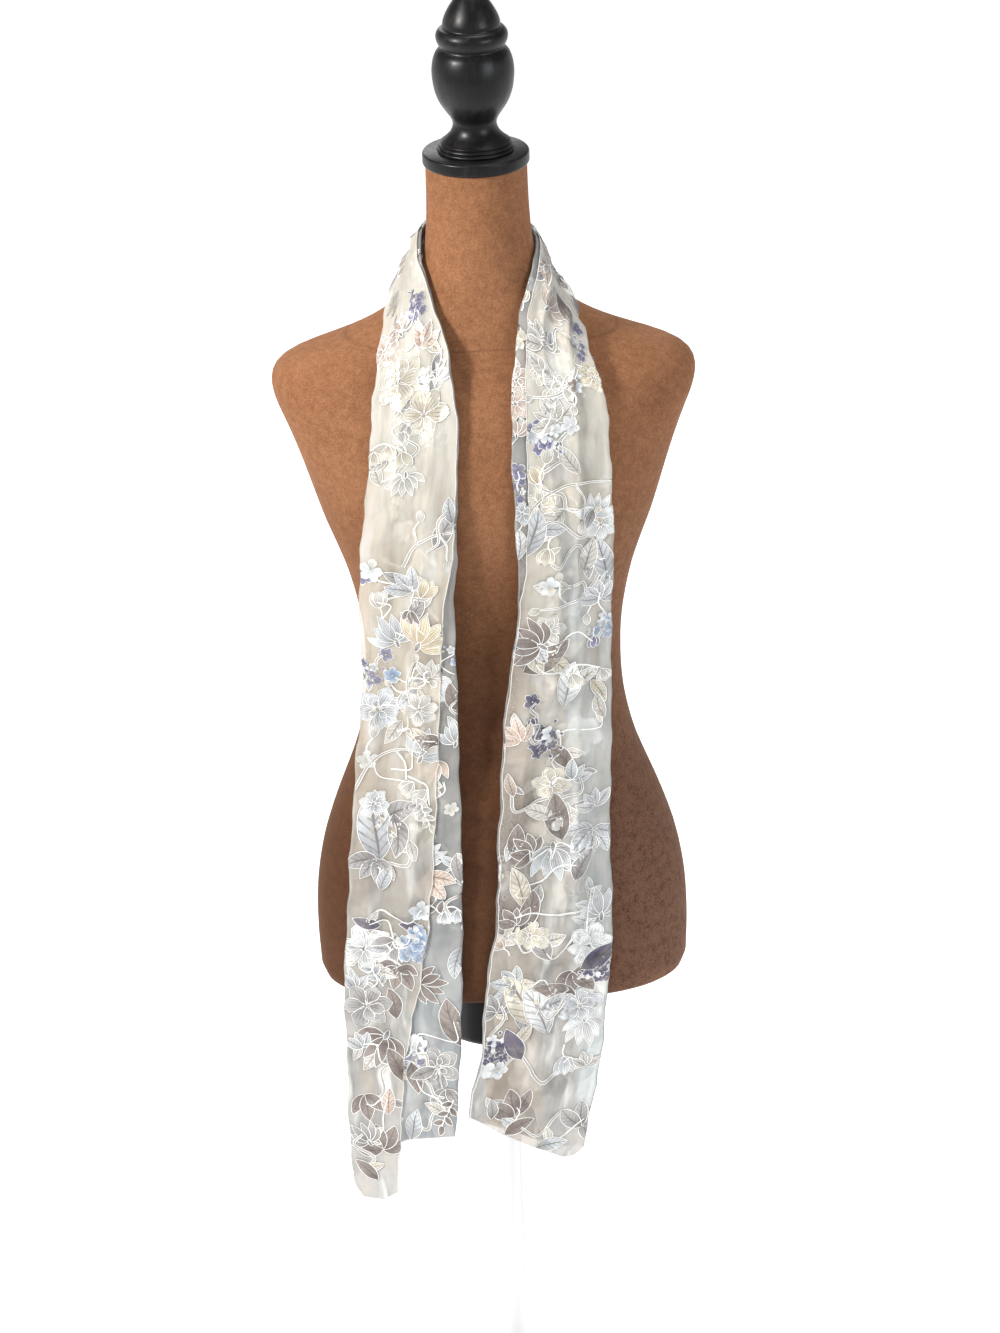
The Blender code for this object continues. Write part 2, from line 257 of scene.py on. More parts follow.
def round_outline(outline, radius, corners):
    """Round the named corners of an outline with short arcs."""
    rounded = []
    for k, (r, z) in enumerate(outline):
        if k not in corners:
            rounded.append((r, z))
            continue
        point = Vector((r, z))
        before = Vector(outline[k - 1])
        after = Vector(outline[k + 1])
        reach = min(radius, (before - point).length / 2, (after - point).length / 2)
        start = point + (before - point).normalized() * reach
        end = point + (after - point).normalized() * reach
        for t in (0, 0.25, 0.5, 0.75, 1):
            spot = start * (1 - t) ** 2 + point * 2 * t * (1 - t) + end * t ** 2
            rounded.append((spot.x, spot.y))
    return rounded


black_coat, wires, place, plug = new_finish("black_coat", Specular_IOR_Level=0.3, Coat_Weight=0.05)
speckle = place.noise(900, 2)
plug("Base Color", place.noise(30).mix((0.010, 0.010, 0.011), (0.022, 0.021, 0.021)))
plug("Roughness", speckle * 0.2 + 0.34)
plug("Normal", speckle.bump(0.12, 0.0003))

steel, wires, place, plug = new_finish("satin_steel", Metallic=1.0)
drawn = place.noise(700, 3, (1, 1, 0.02))
plug("Base Color", drawn.mix((0.56, 0.56, 0.57), (0.7, 0.7, 0.7)))
plug("Roughness", drawn * 0.18 + 0.22)
plug("Normal", drawn.bump(0.05, 0.0002))

base_outline = round_outline(node_profile("base"), 4 * MM, (1, 2))
turn_piece("base_plate", "base", base_outline, black_coat, sharp=30)
socket_outline = round_outline(node_profile("pole_socket"), 2 * MM, (1,))
turn_piece("pole_socket_cup", "pole_socket", socket_outline, black_coat)
turn_piece("pole_tube", "pole", node_profile("pole"), steel, steps=48)
collar_outline = round_outline(node_profile("collar"), 3 * MM, (1, 2))
turn_piece("collar_cup", "collar", collar_outline, black_coat)


# ---- Torso ------------------------------------------------------------------------------
# A hollow moulded body, padded and covered in brown suede cloth with a short mottled nap. A
# fine seam crosses the chest, and another goes down the back.

torso_bm = bmesh.new()
torso_bm.from_mesh(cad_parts["torso"].data)
torso_tree = BVHTree.FromBMesh(torso_bm)
torso_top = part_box("torso")[1][2]
TORSO_STEPS = 144

levels = [form_foot + height * MM for height in (0.05, 1.2, 2.6, 4.5, 7, 10, 14)]
while levels[-1] + 5 * MM < torso_top:
    levels.append(levels[-1] + 5 * MM)
levels.append(torso_top - 0.05 * MM)

around = np.arange(TORSO_STEPS) * 2 * math.pi / TORSO_STEPS
around = np.arctan2(np.sin(around) * 0.6, np.cos(around))
radii = np.zeros((len(levels), TORSO_STEPS))
for row, height in enumerate(levels):
    for step, angle in enumerate(around):
        out = Vector((math.cos(angle), math.sin(angle), 0))
        hit = torso_tree.ray_cast(out * 0.5 + Vector((0, 0, height)), -out)
        radii[row, step] = 0.5 - hit[3]

# even out the facets, round each level and then from level to level above the rounded foot
FOOT_LEVELS = 7
for _ in range(3):
    radii = (np.roll(radii, 1, 1) + 2 * radii + np.roll(radii, -1, 1)) / 4
    evened = (radii[:-2] + 2 * radii[1:-1] + radii[2:]) / 4
    radii[FOOT_LEVELS:-1] = evened[FOOT_LEVELS - 1:]

torso_points = [
    (radii[row, step] * math.cos(angle), radii[row, step] * math.sin(angle), height)
    for row, height in enumerate(levels)
    for step, angle in enumerate(around)
]
torso_faces = []
for row in range(len(levels) - 1):
    for step in range(TORSO_STEPS):
        a = row * TORSO_STEPS + step
        b = row * TORSO_STEPS + (step + 1) % TORSO_STEPS
        torso_faces.append((a, b, b + TORSO_STEPS, a + TORSO_STEPS))
torso_faces.append(tuple(range(TORSO_STEPS))[::-1])
last_ring = (len(levels) - 1) * TORSO_STEPS
torso_faces.append(tuple(range(last_ring, last_ring + TORSO_STEPS)))
torso_mesh = bpy.data.meshes.new("torso_cover")
torso_mesh.from_pydata(torso_points, [], torso_faces)

suede, wires, place, plug = new_finish(
    "brown_suede", Specular_IOR_Level=0.18, Sheen_Weight=0.1, Sheen_Roughness=0.4,
    Sheen_Tint=(0.85, 0.45, 0.24, 1),
)
nap = place.noise(620, 3)
mottle = place.noise(150, 3)
clouds = place.noise(14, 3)
level = place.axis("Z")
across = place.axis("X")
CHEST_SEAM = form_foot + 0.596
seam_rise = place.noise(9) * 0.008
chest_seam = 1 - (level - CHEST_SEAM + seam_rise).size().between(0.0003, 0.0012)
back_seam = 1 - across.size().between(0.0003, 0.0013)
seams = wires.sum("MAXIMUM", chest_seam, back_seam * place.axis("Y").between(0.0, 0.01))
tone = nap * 0.5 + mottle * 0.3 + clouds * 0.2
brown = wires.node(
    "ValToRGB",
    {"stops": [(0.32, (0.17, 0.070, 0.031)), (0.5, (0.26, 0.114, 0.053)), (0.68, (0.365, 0.172, 0.084))]},
    {0: tone},
)
# Painted shade: below the chest the suede is painted darker towards the bottom all round, and painted
# lighter on its right side, as if lit from there.
painted_low_shade = (1 - level.between(form_foot + 0.10, form_foot + 0.57)) * 0.86
painted_side_lit_brown = across.between(0.02, 0.14).mix((0.058, 0.0215, 0.0085), (0.16, 0.084, 0.056))
brown = painted_low_shade.mix(brown, (nap * 0.6 + mottle * 0.4).between(0.25, 0.6).mix((0.035, 0.014, 0.007), painted_side_lit_brown))
plug("Base Color", (seams * 0.25).mix(brown, (0.09, 0.035, 0.018)))
plug("Roughness", nap * 0.2 + 0.75)
relief = nap * 0.6 + mottle * 0.3 - seams * 1.2
plug("Normal", relief.bump(0.35, 0.0006))
torso_cover = link_piece("torso_cover", torso_mesh, suede)
torso_mesh.set_sharp_from_angle(angle=math.radians(50))
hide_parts("torso")


# ---- Neck plate and finial --------------------------------------------------------------
# Turned wood, stained black and rubbed to a satin shine. The plate screws down on the neck,
# and the finial on it, with its three small rings, urn, bead and dome, is one turning.

black_wood, wires, place, plug = new_finish(
    "black_satin_wood", Specular_IOR_Level=0.25, Coat_Weight=0.08, Coat_Roughness=0.25,
)
grain = place.noise(260, 4, (1, 1, 0.08))
wear = place.noise(60, 3)
plug("Base Color", (grain * wear).between(0.2, 0.5).mix((0.004, 0.004, 0.0045), (0.016, 0.014, 0.013)))
plug("Roughness", grain * 0.25 + 0.27)
plug("Normal", grain.bump(0.22, 0.0005))


def spline_outline(outline, share=4):
    """More points on a turned outline, on a smooth curve through it."""
    points = [Vector(p) for p in outline]
    fine = []
    for k in range(len(points) - 1):
        p0, p1 = points[max(k - 1, 0)], points[k]
        p2, p3 = points[k + 1], points[min(k + 2, len(points) - 1)]
        for step in range(share):
            t = step / share
            spot = 0.5 * (
                2 * p1 + (p2 - p0) * t + (2 * p0 - 5 * p1 + 4 * p2 - p3) * t ** 2
                + (3 * p1 - p0 - 3 * p2 + p3) * t ** 3
            )
            fine.append((max(spot.x, 1e-4), spot.y))
    fine.append(tuple(points[-1]))
    return fine


plate_outline = round_outline(node_profile("neck_plate"), 1.5 * MM, (1, 2))
turn_piece("neck_plate_disc", "neck_plate", plate_outline, black_wood, sharp=50)
finial_outline = spline_outline(node_profile("finial"))
turn_piece("finial_turning", "finial", finial_outline, black_wood)


# ---- The strip of chiffon ---------------------------------------------------------------
# One long strip, folded lengthwise in three: a front layer from its free edge out to the outer
# fold, a middle layer back to the inner fold, and a rear layer. It lies round the back of the
# neck, and its two ends hang down the front.

# Rows across the folded strip, in millimetres from the form's foot: the edge by the neck
# opening, the edge away from it, and the shares of the width that the front and rear layers
# cover.
LEFT_ROWS = [
    (-50, -92, -195, -136, -76, -195, 0.41, 0.85),
    (-47, -92, -120, -140, -76, -120, 0.49, 0.85),
    (-41, -93, -50, -139, -76, -50, 0.52, 0.80),
    (-37, -96, 20, -139, -77, 20, 0.64, 0.72),
    (-34, -97, 90, -133, -78, 90, 0.72, 0.68),
    (-32, -97, 150, -128, -79, 150, 0.75, 0.70),
    (-32, -98, 230, -120, -81, 230, 0.80, 0.75),
    (-31, -101, 300, -112, -83, 300, 0.83, 0.85),
    (-31, -105, 375, -111, -86, 375, 0.90, 0.90),
    (-27, -108, 430, -108, -88, 430, 0.97, 0.90),
    (-25, -108, 480, -102, -91, 478, 0.99, 0.90),
    (-22, -101, 530, -97, -91, 520, 0.99, 0.92),
    (-24, -90, 568, -95, -86, 550, 0.99, 0.94),
    (-29, -72, 600, -91, -78, 570, 0.99, 0.95),
    (-36, -52, 622, -87, -66, 586, 0.99, 0.95),
    (-42, -36, 640, -82, -48, 600, 0.98, 0.95),
    (-47, -20, 657, -77, -25, 615, 0.97, 0.95),
    (-47, -4, 672, -71, 0, 629, 0.96, 0.95),
    (-45, 14, 677, -61, 20, 634, 0.96, 0.95),
    (-34, 34, 680, -45, 46, 634, 0.96, 0.95),
]
BACK_ROW = (0, 47, 680, 0, 60, 632, 0.96, 0.94)
RIGHT_ROWS = [
    (34, 34, 676, 44, 46, 628, 0.96, 0.93),
    (45, 14, 671, 57, 18, 622, 0.96, 0.92),
    (46, -4, 667, 67, 0, 614, 0.95, 0.90),
    (44, -22, 658, 76, -22, 605, 0.93, 0.87),
    (38, -39, 641, 84, -44, 598, 0.91, 0.84),
    (32, -54, 622, 88, -60, 588, 0.90, 0.81),
    (27, -72, 600, 94, -74, 575, 0.88, 0.78),
    (23, -90, 568, 101, -81, 558, 0.86, 0.74),
    (21, -101, 530, 103, -87, 525, 0.85, 0.75),
    (21, -108, 480, 104, -90, 480, 0.855, 0.77),
    (22, -108, 430, 104, -88, 430, 0.90, 0.75),
    (22, -105, 375, 101, -86, 375, 0.99, 0.67),
    (10, -102, 300, 99, -84, 300, 0.99, 0.68),
    (3, -100, 230, 97, -82, 230, 0.99, 0.65),
    (-3, -99, 150, 94, -80, 150, 0.99, 0.62),
    (-6, -98, 90, 93, -80, 90, 0.99, 0.60),
    (-17, -96, 20, 89, -80, 20, 0.99, 0.62),
    (-24, -93, -50, 82, -80, -50, 0.99, 0.65),
    (-36, -92, -100, 72, -80, -100, 0.99, 0.70),
    (-22, -90, -155, 60, -80, -155, 0.99, 0.75),
]
ROWS = np.array(LEFT_ROWS + [BACK_ROW] + RIGHT_ROWS, dtype=float)
BACK = len(LEFT_ROWS)
NECK_REACH = 3
PITCH = 1.8  # from one layer to the next
WALL_MIDDLE = 0.5

# Hems: places across the cloth (0 front free edge, 1 outer fold, 2 inner fold, 3 rear free
# edge) and the hem's height at each.
HEMS = {
    -1: ((0, 0.3, 0.8, 0.95, 1, 1.3, 1.55, 2, 2.4, 3),
         (-177, -185, -183, -174, -166, -136, -127, -122, -125, -132)),
    1: ((0, 0.25, 0.5, 0.8, 0.92, 1, 1.3, 1.7, 2, 2.5, 3),
        (-104, -123, -137, -149, -148, -140, -138, -118, -105, -116, -128)),
}


def smooth_rows(table, at):
    """Smooth curves through the table's columns, read at fractional row numbers."""
    at = np.clip(at, 0, len(table) - 1)
    low = np.minimum(at.astype(int), len(table) - 2)
    t = (at - low)[..., None]
    slopes = np.gradient(table, axis=0)
    rise = table[low + 1] - table[low]
    start, end = slopes[low], slopes[low + 1]
    return table[low] + t * start + t * t * (3 * rise - 2 * start - end + t * (start + end - 2 * rise))


FINE = 25
ACROSS_STEPS = 40
fine_index = np.arange((len(ROWS) - 1) * FINE + 1) / FINE
rows = smooth_rows(ROWS, fine_index)
outward = rows[:, 3:6] - rows[:, 0:3]
outward /= np.linalg.norm(outward, axis=1, keepdims=True)
steps = np.linalg.norm(np.diff(rows[:, 0:3] + rows[:, 3:6], axis=0), axis=1) / 2
wave = np.concatenate(([0], np.cumsum(steps)))
rows[:, 0:3] += outward * (0.7 * np.sin(wave / 9.1) + 0.35 * np.sin(wave / 3.7 + 1))[:, None]
rows[:, 3:6] += outward * (0.7 * np.sin(wave / 7.7 + 2) + 0.35 * np.sin(wave / 3.3))[:, None]
rows[:, 6] += 0.005 * np.sin(wave / 8.3) + 0.003 * np.sin(wave / 3.1 + 1)
share = np.linspace(0, 1, ACROSS_STEPS + 1)[None, :, None]
strip = rows[:, None, 0:3] * (1 - share) + rows[:, None, 3:6] * share
width_of = np.linalg.norm(rows[:, 3:6] - rows[:, 0:3], axis=1)
front_of = np.minimum(rows[:, 6], 0.992)
rear_of = rows[:, 7]

# lay the strip clear of the form, then soften it
CLEAR = 1.7
for i in range(strip.shape[0]):
    for j in range(strip.shape[1]):
        point = Vector(strip[i, j]) * MM + Vector((0, 0, form_foot))
        spot, normal, _, _ = torso_tree.find_nearest(point)
        gap = (point - spot).dot(normal)
        if gap < CLEAR * MM and spot.z > form_foot + 0.02:
            point = point + normal * (CLEAR * MM - gap)
            strip[i, j] = (point - Vector((0, 0, form_foot))) / MM


for _ in range(4):
    strip[1:-1] = (strip[:-2] + 2 * strip[1:-1] + strip[2:]) / 4
    strip[:, 1:-1] = (strip[:, :-2] + 2 * strip[:, 1:-1] + strip[:, 2:]) / 4

along = np.gradient(strip, axis=0)
over = np.gradient(strip, axis=1)
strip_out = np.cross(along, over)
strip_out /= np.linalg.norm(strip_out, axis=2, keepdims=True)
middle = strip[:, ACROSS_STEPS // 2]
run_of = np.concatenate(([0], np.cumsum(np.linalg.norm(np.diff(middle, axis=0), axis=1))))


def sample(grid, index, across):
    """Read a grid of the strip at fractional row numbers and shares of its width."""
    i = np.clip(index * FINE, 0, grid.shape[0] - 1.001)
    j = np.clip(across * ACROSS_STEPS, 0, grid.shape[1] - 1.001)
    i0, j0 = i.astype(int), j.astype(int)
    ti, tj = (i - i0)[..., None], (j - j0)[..., None]
    low = grid[i0, j0] * (1 - tj) + grid[i0, j0 + 1] * tj
    high = grid[i0 + 1, j0] * (1 - tj) + grid[i0 + 1, j0 + 1] * tj
    return low * (1 - ti) + high * ti


# Storage creases across the falls: which fall, height at the strip's middle, depth in
# millimetres, how far it climbs from the inner to the outer edge, reach up and down, and the
# share of the width where it is deepest.
CREASES = [
    (-1, 587, 2.2, -4, 7, 9, 0.6), (-1, 371, 1.8, 2, 6, 10, 0.3), (-1, 250, 2.0, -3, 6, 12, 0.3),
    (-1, 90, 3.6, 3, 4, 16, 0.7), (-1, 34, 3.6, 34, 10, 16, 0.8), (-1, -70, 2.2, -26, 10, 18, 0.5),
    (-1, 138, 2.4, 12, 10, 14, 0.9), (-1, 465, 1.2, 20, 22, 30, 0.5),
    (1, 407, 1.8, -2, 6, 8, 0.3), (1, 300, 1.6, 30, 14, 20, 0.4), (1, 191, 1.8, 3, 7, 10, 0.4),
    (1, 122, 2.4, 4, 6, 12, 0.3), (1, 22, 5.0, 34, 6, 20, 0.85), (1, -2, 4.0, -36, 9, 26, 0.35),
    (1, -82, 3.0, -50, 8, 20, 0.5), (1, -112, 2.4, 40, 8, 16, 0.8), (1, 58, 2.6, 24, 6, 18, 0.6),
    (-1, -20, 2.6, -40, 8, 18, 0.25), (-1, -142, 2.4, 30, 7, 14, 0.9), (-1, -108, 2.4, -30, 7, 16, 0.7),
    (1, -42, 2.0, -24, 12, 20, 0.2), (1, 470, 1.2, -30, 24, 30, 0.4), (1, 62, 2.2, 10, 9, 20, 0.15),
]
# Soft ridges and troughs down the falls: which fall, share of the width at the top and at the
# bottom, top and bottom heights, depth (under 0 for a trough) and half width as a share.
RIDGES = [
    (-1, 0.22, 0.42, 660, 300, 2.2, 0.07),
    (-1, 0.62, 0.70, 650, 360, 2.0, 0.08),
    (-1, 0.42, 0.58, 600, 180, -1.5, 0.09),
    (-1, 0.30, 0.55, 330, -60, 2.4, 0.06),
    (-1, 0.85, 0.80, 300, 40, 1.8, 0.07),
    (-1, 0.70, 0.62, 200, -175, -1.6, 0.08),
    (-1, 0.12, 0.20, 470, 60, 1.6, 0.05),
    (-1, 0.15, 0.30, 60, -120, 2.0, 0.08),
    (-1, 0.92, 0.86, 20, -190, 2.0, 0.06),
    (1, 0.30, 0.42, 660, 420, 2.2, 0.07),
    (1, 0.70, 0.60, 640, 330, 2.4, 0.06),
    (1, 0.50, 0.52, 560, 250, -1.6, 0.08),
    (1, 0.44, 0.40, 400, 40, 2.4, 0.06),
    (1, 0.70, 0.66, 330, -140, 2.6, 0.05),
    (1, 0.18, 0.24, 300, -80, 1.8, 0.06),
    (1, 0.85, 0.84, 260, 40, -1.6, 0.07),
    (1, 0.55, 0.50, 100, -150, 2.0, 0.08),
    (1, 0.10, 0.06, 120, -150, -1.4, 0.07),
]
# Small crumples: wave length, waves across and along in a millimetre, phase, and the length
# and phase of the swell in which they come and go.
crumple_random = random.Random(7)
CRUMPLES = []
for _ in range(18):
    length = crumple_random.uniform(13, 60)
    turn = crumple_random.gauss(0, 0.6)
    CRUMPLES.append((
        length, math.cos(turn) / length, math.sin(turn) / length, crumple_random.uniform(0, 6.3),
        crumple_random.uniform(60, 160), crumple_random.uniform(0, 6.3),
    ))


CREASE_DEPTH = 1.5
RIDGE_DEPTH = 1.7
CRUMPLE_DEPTH = 0.023


def lift_of_folds(index, across, height):
    """How far folds, gathers and creases stand the strip off, in millimetres."""
    from_back = index - BACK
    gather = np.exp(-((from_back / 3.5) ** 2))
    folds = 0.5 + 0.5 * np.cos(2 * math.pi * (1.6 * across + 0.12 * from_back))
    gathers = 0.5 - 0.5 * np.cos(2 * math.pi * 2.5 * across)
    lift = 2.2 * (1 - gather) * folds + 2.6 * gather * gathers
    side = np.sign(from_back)
    for fall, level, depth, climb, below, above, deepest in CREASES:
        offset = height - level - climb * (across - 0.5)
        reach = np.where(offset < 0, below, above)
        spread = np.exp(-(((across - deepest) / 0.55) ** 2))
        lift = lift + (side == fall) * CREASE_DEPTH * depth * spread * np.exp(-np.abs(offset) / reach)
    for fall, high_share, low_share, top, bottom, depth, half in RIDGES:
        t = np.clip((top - height) / (top - bottom), -0.3, 1.3)
        offset = across - high_share - (low_share - high_share) * t
        ends = np.clip((0.5 - np.abs(t - 0.5)) * 4 + 0.6, 0, 1)
        ends = ends * ends * (3 - 2 * ends)
        soft = np.sqrt(offset ** 2 + (0.22 * half) ** 2)
        lift = lift + (side == fall) * RIDGE_DEPTH * depth * ends * np.exp(-soft / half)
    run = np.interp(index, fine_index, run_of)
    wide = across * np.interp(index, fine_index, width_of)
    slack = np.clip((470 - height) / 160, 0.3, 1) + 1.7 * np.clip((80 - height) / 90, 0, 1)
    slack = slack * (1 - gather)
    sharp = np.clip((140 - height) / 120, 0, 0.85)
    for length, wave_across, wave_along, phase, swell, swell_phase in CRUMPLES:
        turns = 2 * math.pi * (wide * wave_across + run * wave_along) + phase
        wave = np.sin(turns) * (1 - sharp) + (0.6 - 2 * np.abs(np.sin(turns / 2))) * sharp
        envelope = 0.5 + 0.5 * np.sin(2 * math.pi * run / swell + swell_phase)
        lift = lift + slack * CRUMPLE_DEPTH * length * wave * envelope
    return np.maximum(lift, -0.4) * 0.9 + 0.4 * np.exp(-np.abs(lift))


def cloth_points(index, inward, proud):
    """Points in metres on the folded strip. Inward is the distance from the outer fold, over
    0 on the front layer and under 0 on the middle and rear ones; proud lifts off the cloth."""
    width = np.interp(index, fine_index, width_of)
    bend = PITCH / 2
    turn = np.clip(inward / bend, -math.pi / 2, math.pi / 2)
    from_edge = bend * (1 - np.cos(turn)) + np.maximum(np.abs(inward) - bend * math.pi / 2, 0)
    outer_share = 1 - from_edge / width
    outer_lift = 1.5 * PITCH + bend * np.sin(turn)
    back = -inward - width
    turn = np.clip(back / bend, -math.pi / 2, math.pi / 2)
    from_edge = bend * (1 - np.cos(turn)) + np.maximum(np.abs(back) - bend * math.pi / 2, 0)
    inner_share = from_edge / width
    inner_lift = 0.5 * PITCH - bend * np.sin(turn)
    near_outer = inward > -width / 2
    across = np.where(near_outer, outer_share, inner_share)
    lift = np.where(near_outer, outer_lift, inner_lift)
    base = sample(strip, index, across)
    out = sample(strip_out, index, across)
    rise = lift + WALL_MIDDLE + lift_of_folds(index, across, base[..., 2]) + proud
    points = (base + out * rise[..., None]) * MM
    points[..., 2] += form_foot
    return points


def layer_reach(index):
    """The folded strip's width, and the reach of its front and rear layers, at these rows."""
    width = np.interp(index, fine_index, width_of)
    front = np.interp(index, fine_index, front_of) * width
    rear = np.interp(index, fine_index, rear_of) * width
    return width, front, rear


def hem_index(side, index, inward):
    """The row number at which the hem lies, at a place across the cloth."""
    width, front, rear = layer_reach(index)
    place = np.where(inward > 0, 1 - inward / front, 1 - inward / width)
    place = np.where(inward < -width, 2 + (-inward - width) / rear, place)
    height = np.interp(place, *HEMS[side])
    numbers = np.arange(len(ROWS))
    part = numbers < 8 if side < 0 else numbers > len(ROWS) - 9
    order = np.argsort(ROWS[part][:, 2])
    return np.interp(height, ROWS[part][order, 2], numbers[part][order])


HANG = {-1: 3, 1: len(ROWS) - 4}
FRONT_COLUMNS = 42
MIDDLE_COLUMNS = 44
REAR_COLUMNS = 34
SHEET_COLUMNS = FRONT_COLUMNS + MIDDLE_COLUMNS + REAR_COLUMNS + 1


def sheet_columns(index):
    """Inward places of the sheet's columns at one or more rows: (..., columns)."""
    width, front, rear = layer_reach(np.asarray(index, dtype=float))
    front_share = np.linspace(1, 0, FRONT_COLUMNS + 1)[:-1]
    middle_share = np.linspace(0, 1, MIDDLE_COLUMNS + 1)[:-1]
    rear_share = np.linspace(0, 1, REAR_COLUMNS + 1)
    return np.concatenate((
        front[..., None] * front_share,
        -width[..., None] * middle_share,
        -width[..., None] - rear[..., None] * rear_share,
    ), axis=-1)


def fall_grid(side, upper, lower):
    """Row numbers and inward places of a fall's sheet, from the neck seam to the hem."""
    top = BACK + side * NECK_REACH
    hang = HANG[side]
    down = np.linspace(top, hang, upper + 1)
    index = np.repeat(down[:, None], SHEET_COLUMNS, axis=1)
    ends = hem_index(side, np.full(SHEET_COLUMNS, float(hang)), sheet_columns(hang))
    t = np.linspace(0, 1, lower + 1)[1:, None]
    low_index = hang + t * (ends[None, :] - hang)
    columns = np.arange(SHEET_COLUMNS)
    low_inward = sheet_columns(low_index)[:, columns, columns]
    return np.vstack((index, low_index)), np.vstack((sheet_columns(down), low_inward))


def grid_quads(long, wide):
    """The quads over a grid of points, long rows of wide points each."""
    corner = np.arange(long * wide).reshape(long, wide)
    quads = (corner[:-1, :-1], corner[:-1, 1:], corner[1:, 1:], corner[1:, :-1])
    return np.stack(quads, axis=-1).reshape(-1, 4)


def lay_uv(mesh, name, spots, faces):
    layer = mesh.uv_layers.new(name=name)
    layer.data.foreach_set("uv", spots[faces.ravel()].astype(np.float32).ravel())


def sheet_mesh(name, index, inward, points):
    """A sheet over a grid of points, with the flat cloth's own coordinates in metres."""
    mesh = bpy.data.meshes.new(name)
    quads = grid_quads(*index.shape)
    mesh.from_pydata(points.reshape(-1, 3).tolist(), [], quads.tolist())
    flat_cloth = np.stack((inward, np.interp(index, fine_index, run_of)), axis=-1) / 1000
    lay_uv(mesh, "cloth", flat_cloth.reshape(-1, 2), quads)
    return mesh


# The ground is sheer: fine crepe yarns with air between them, a little cloudy.
chiffon, wires, place, plug = new_finish("ivory_chiffon", Sheen_Weight=0.08, Sheen_Roughness=0.4)
cloth_place = wires.node("UVMap", {"uv_map": "cloth"})
cloud = cloth_place.noise(28, 3)
fleck = cloth_place.noise(420, 2, (1, 0.35, 1))
YARNS_PER_METRE = 7000
weave = {"Vector": cloth_place, "Scale": YARNS_PER_METRE / 20}
warp = wires.node("TexWave", {"bands_direction": "X"}, weave)
weft = wires.node("TexWave", {"bands_direction": "Y"}, weave)
yarns = warp * 0.5 + weft * 0.5
level = place.axis("Z")
sideways = place.axis("X")
bands = cloth_place.noise(62, 2.5, (1, 0.2, 1))
# Painted light and shade: the ground is painted paler towards the top, and greyer and darker towards the
# bottom.
painted_top_light = level.between(form_foot + 0.3, form_foot + 0.6).mix((0.76, 0.67, 0.535), (0.92, 0.875, 0.76))
ivory = (level + cloud * 0.1).between(form_foot + 0.02, form_foot + 0.36).mix((0.375, 0.365, 0.35), painted_top_light)
lowered = 1 - level.between(form_foot + 0.40, form_foot + 0.47)
outer_part = sideways.between(0.054, 0.066) * lowered * 0.85
ivory = outer_part.mix(ivory, (0.66, 0.705, 0.70))
# Painted highlight: a pale band down a fold of the right fall, low down.
painted_fold_highlight = sideways.between(0.030, 0.040) * (1 - sideways.between(0.050, 0.057))
painted_fold_highlight = painted_fold_highlight * lowered * level.between(form_foot + 0.04, form_foot + 0.14)
# Painted fold shade and light: soft bands down the cloth darken and pale the ground in turn; the same bands
# also vary its cover and relief.
painted_fold_shade = (bands.between(0.52, 0.30) * 0.6).mix(ivory, (0.50, 0.42, 0.33))
painted_fold_shade = (bands.between(0.52, 0.68) * 0.8).mix(painted_fold_shade, (0.90, 0.885, 0.83))
see_through = (1 - sideways.between(0.015, 0.036)) * sideways.between(-0.022, -0.018) * lowered
painted_fold_shade = (see_through * 0.55).mix(painted_fold_shade, (0.50, 0.39, 0.29))
painted_fold_shade = (painted_fold_highlight * 0.55).mix(painted_fold_shade, (0.88, 0.83, 0.73))
# Painted shade: the middle and rear layers, behind the front one, are painted darker and cooler.
painted_inner_layer_shade = (cloth_place.axis("X").between(0.001, -0.001) * 0.8).mix(painted_fold_shade, (0.30, 0.325, 0.34))
clouded = (cloud.between(0.4, 0.65) * 0.25).mix(painted_inner_layer_shade, (0.84, 0.82, 0.76))
# Painted shade: the ground is darker where the cloth turns to the sides; there it is also more opaque.
turned = wires.node("TexCoord", out="Normal").axis("X").size().between(0.42, 0.95)
plug("Base Color", (turned * 0.4).mix(clouded, (0.26, 0.25, 0.24)))
plug("Roughness", fleck * 0.2 + 0.45)
hanging = 1 - level.between(form_foot - 0.01, form_foot + 0.11)
cover = cloud * 0.12 + bands * 0.16 + fleck * 0.06 + yarns * 0.04
plug("Alpha", cover + 0.33 - see_through * 0.15 + hanging * 0.4 + turned * 0.2)
wrinkle = (place.noise(24, 1.5, (1, 1, 0.7)) - 0.5).size()
rumpled = 1 - level.between(form_foot, form_foot + 0.16)
cloth_relief = bands * 0.005 + wrinkle * (rumpled * 0.03 + 0.008) + (yarns + fleck) * 0.00003
plug("Normal", cloth_relief.bump(0.8, 1.0))

rolled_hem, wires, place, plug = new_finish("rolled_hem_thread", Sheen_Weight=0.2)
twist = place.noise(900, 2)
plug("Base Color", twist.mix((0.60, 0.57, 0.51), (0.80, 0.78, 0.73)))
plug("Roughness", twist * 0.2 + 0.4)
plug("Normal", twist.bump(0.3, 0.0003))

HEM_RADIUS = 0.45 * MM
HEM_SIDES = 6


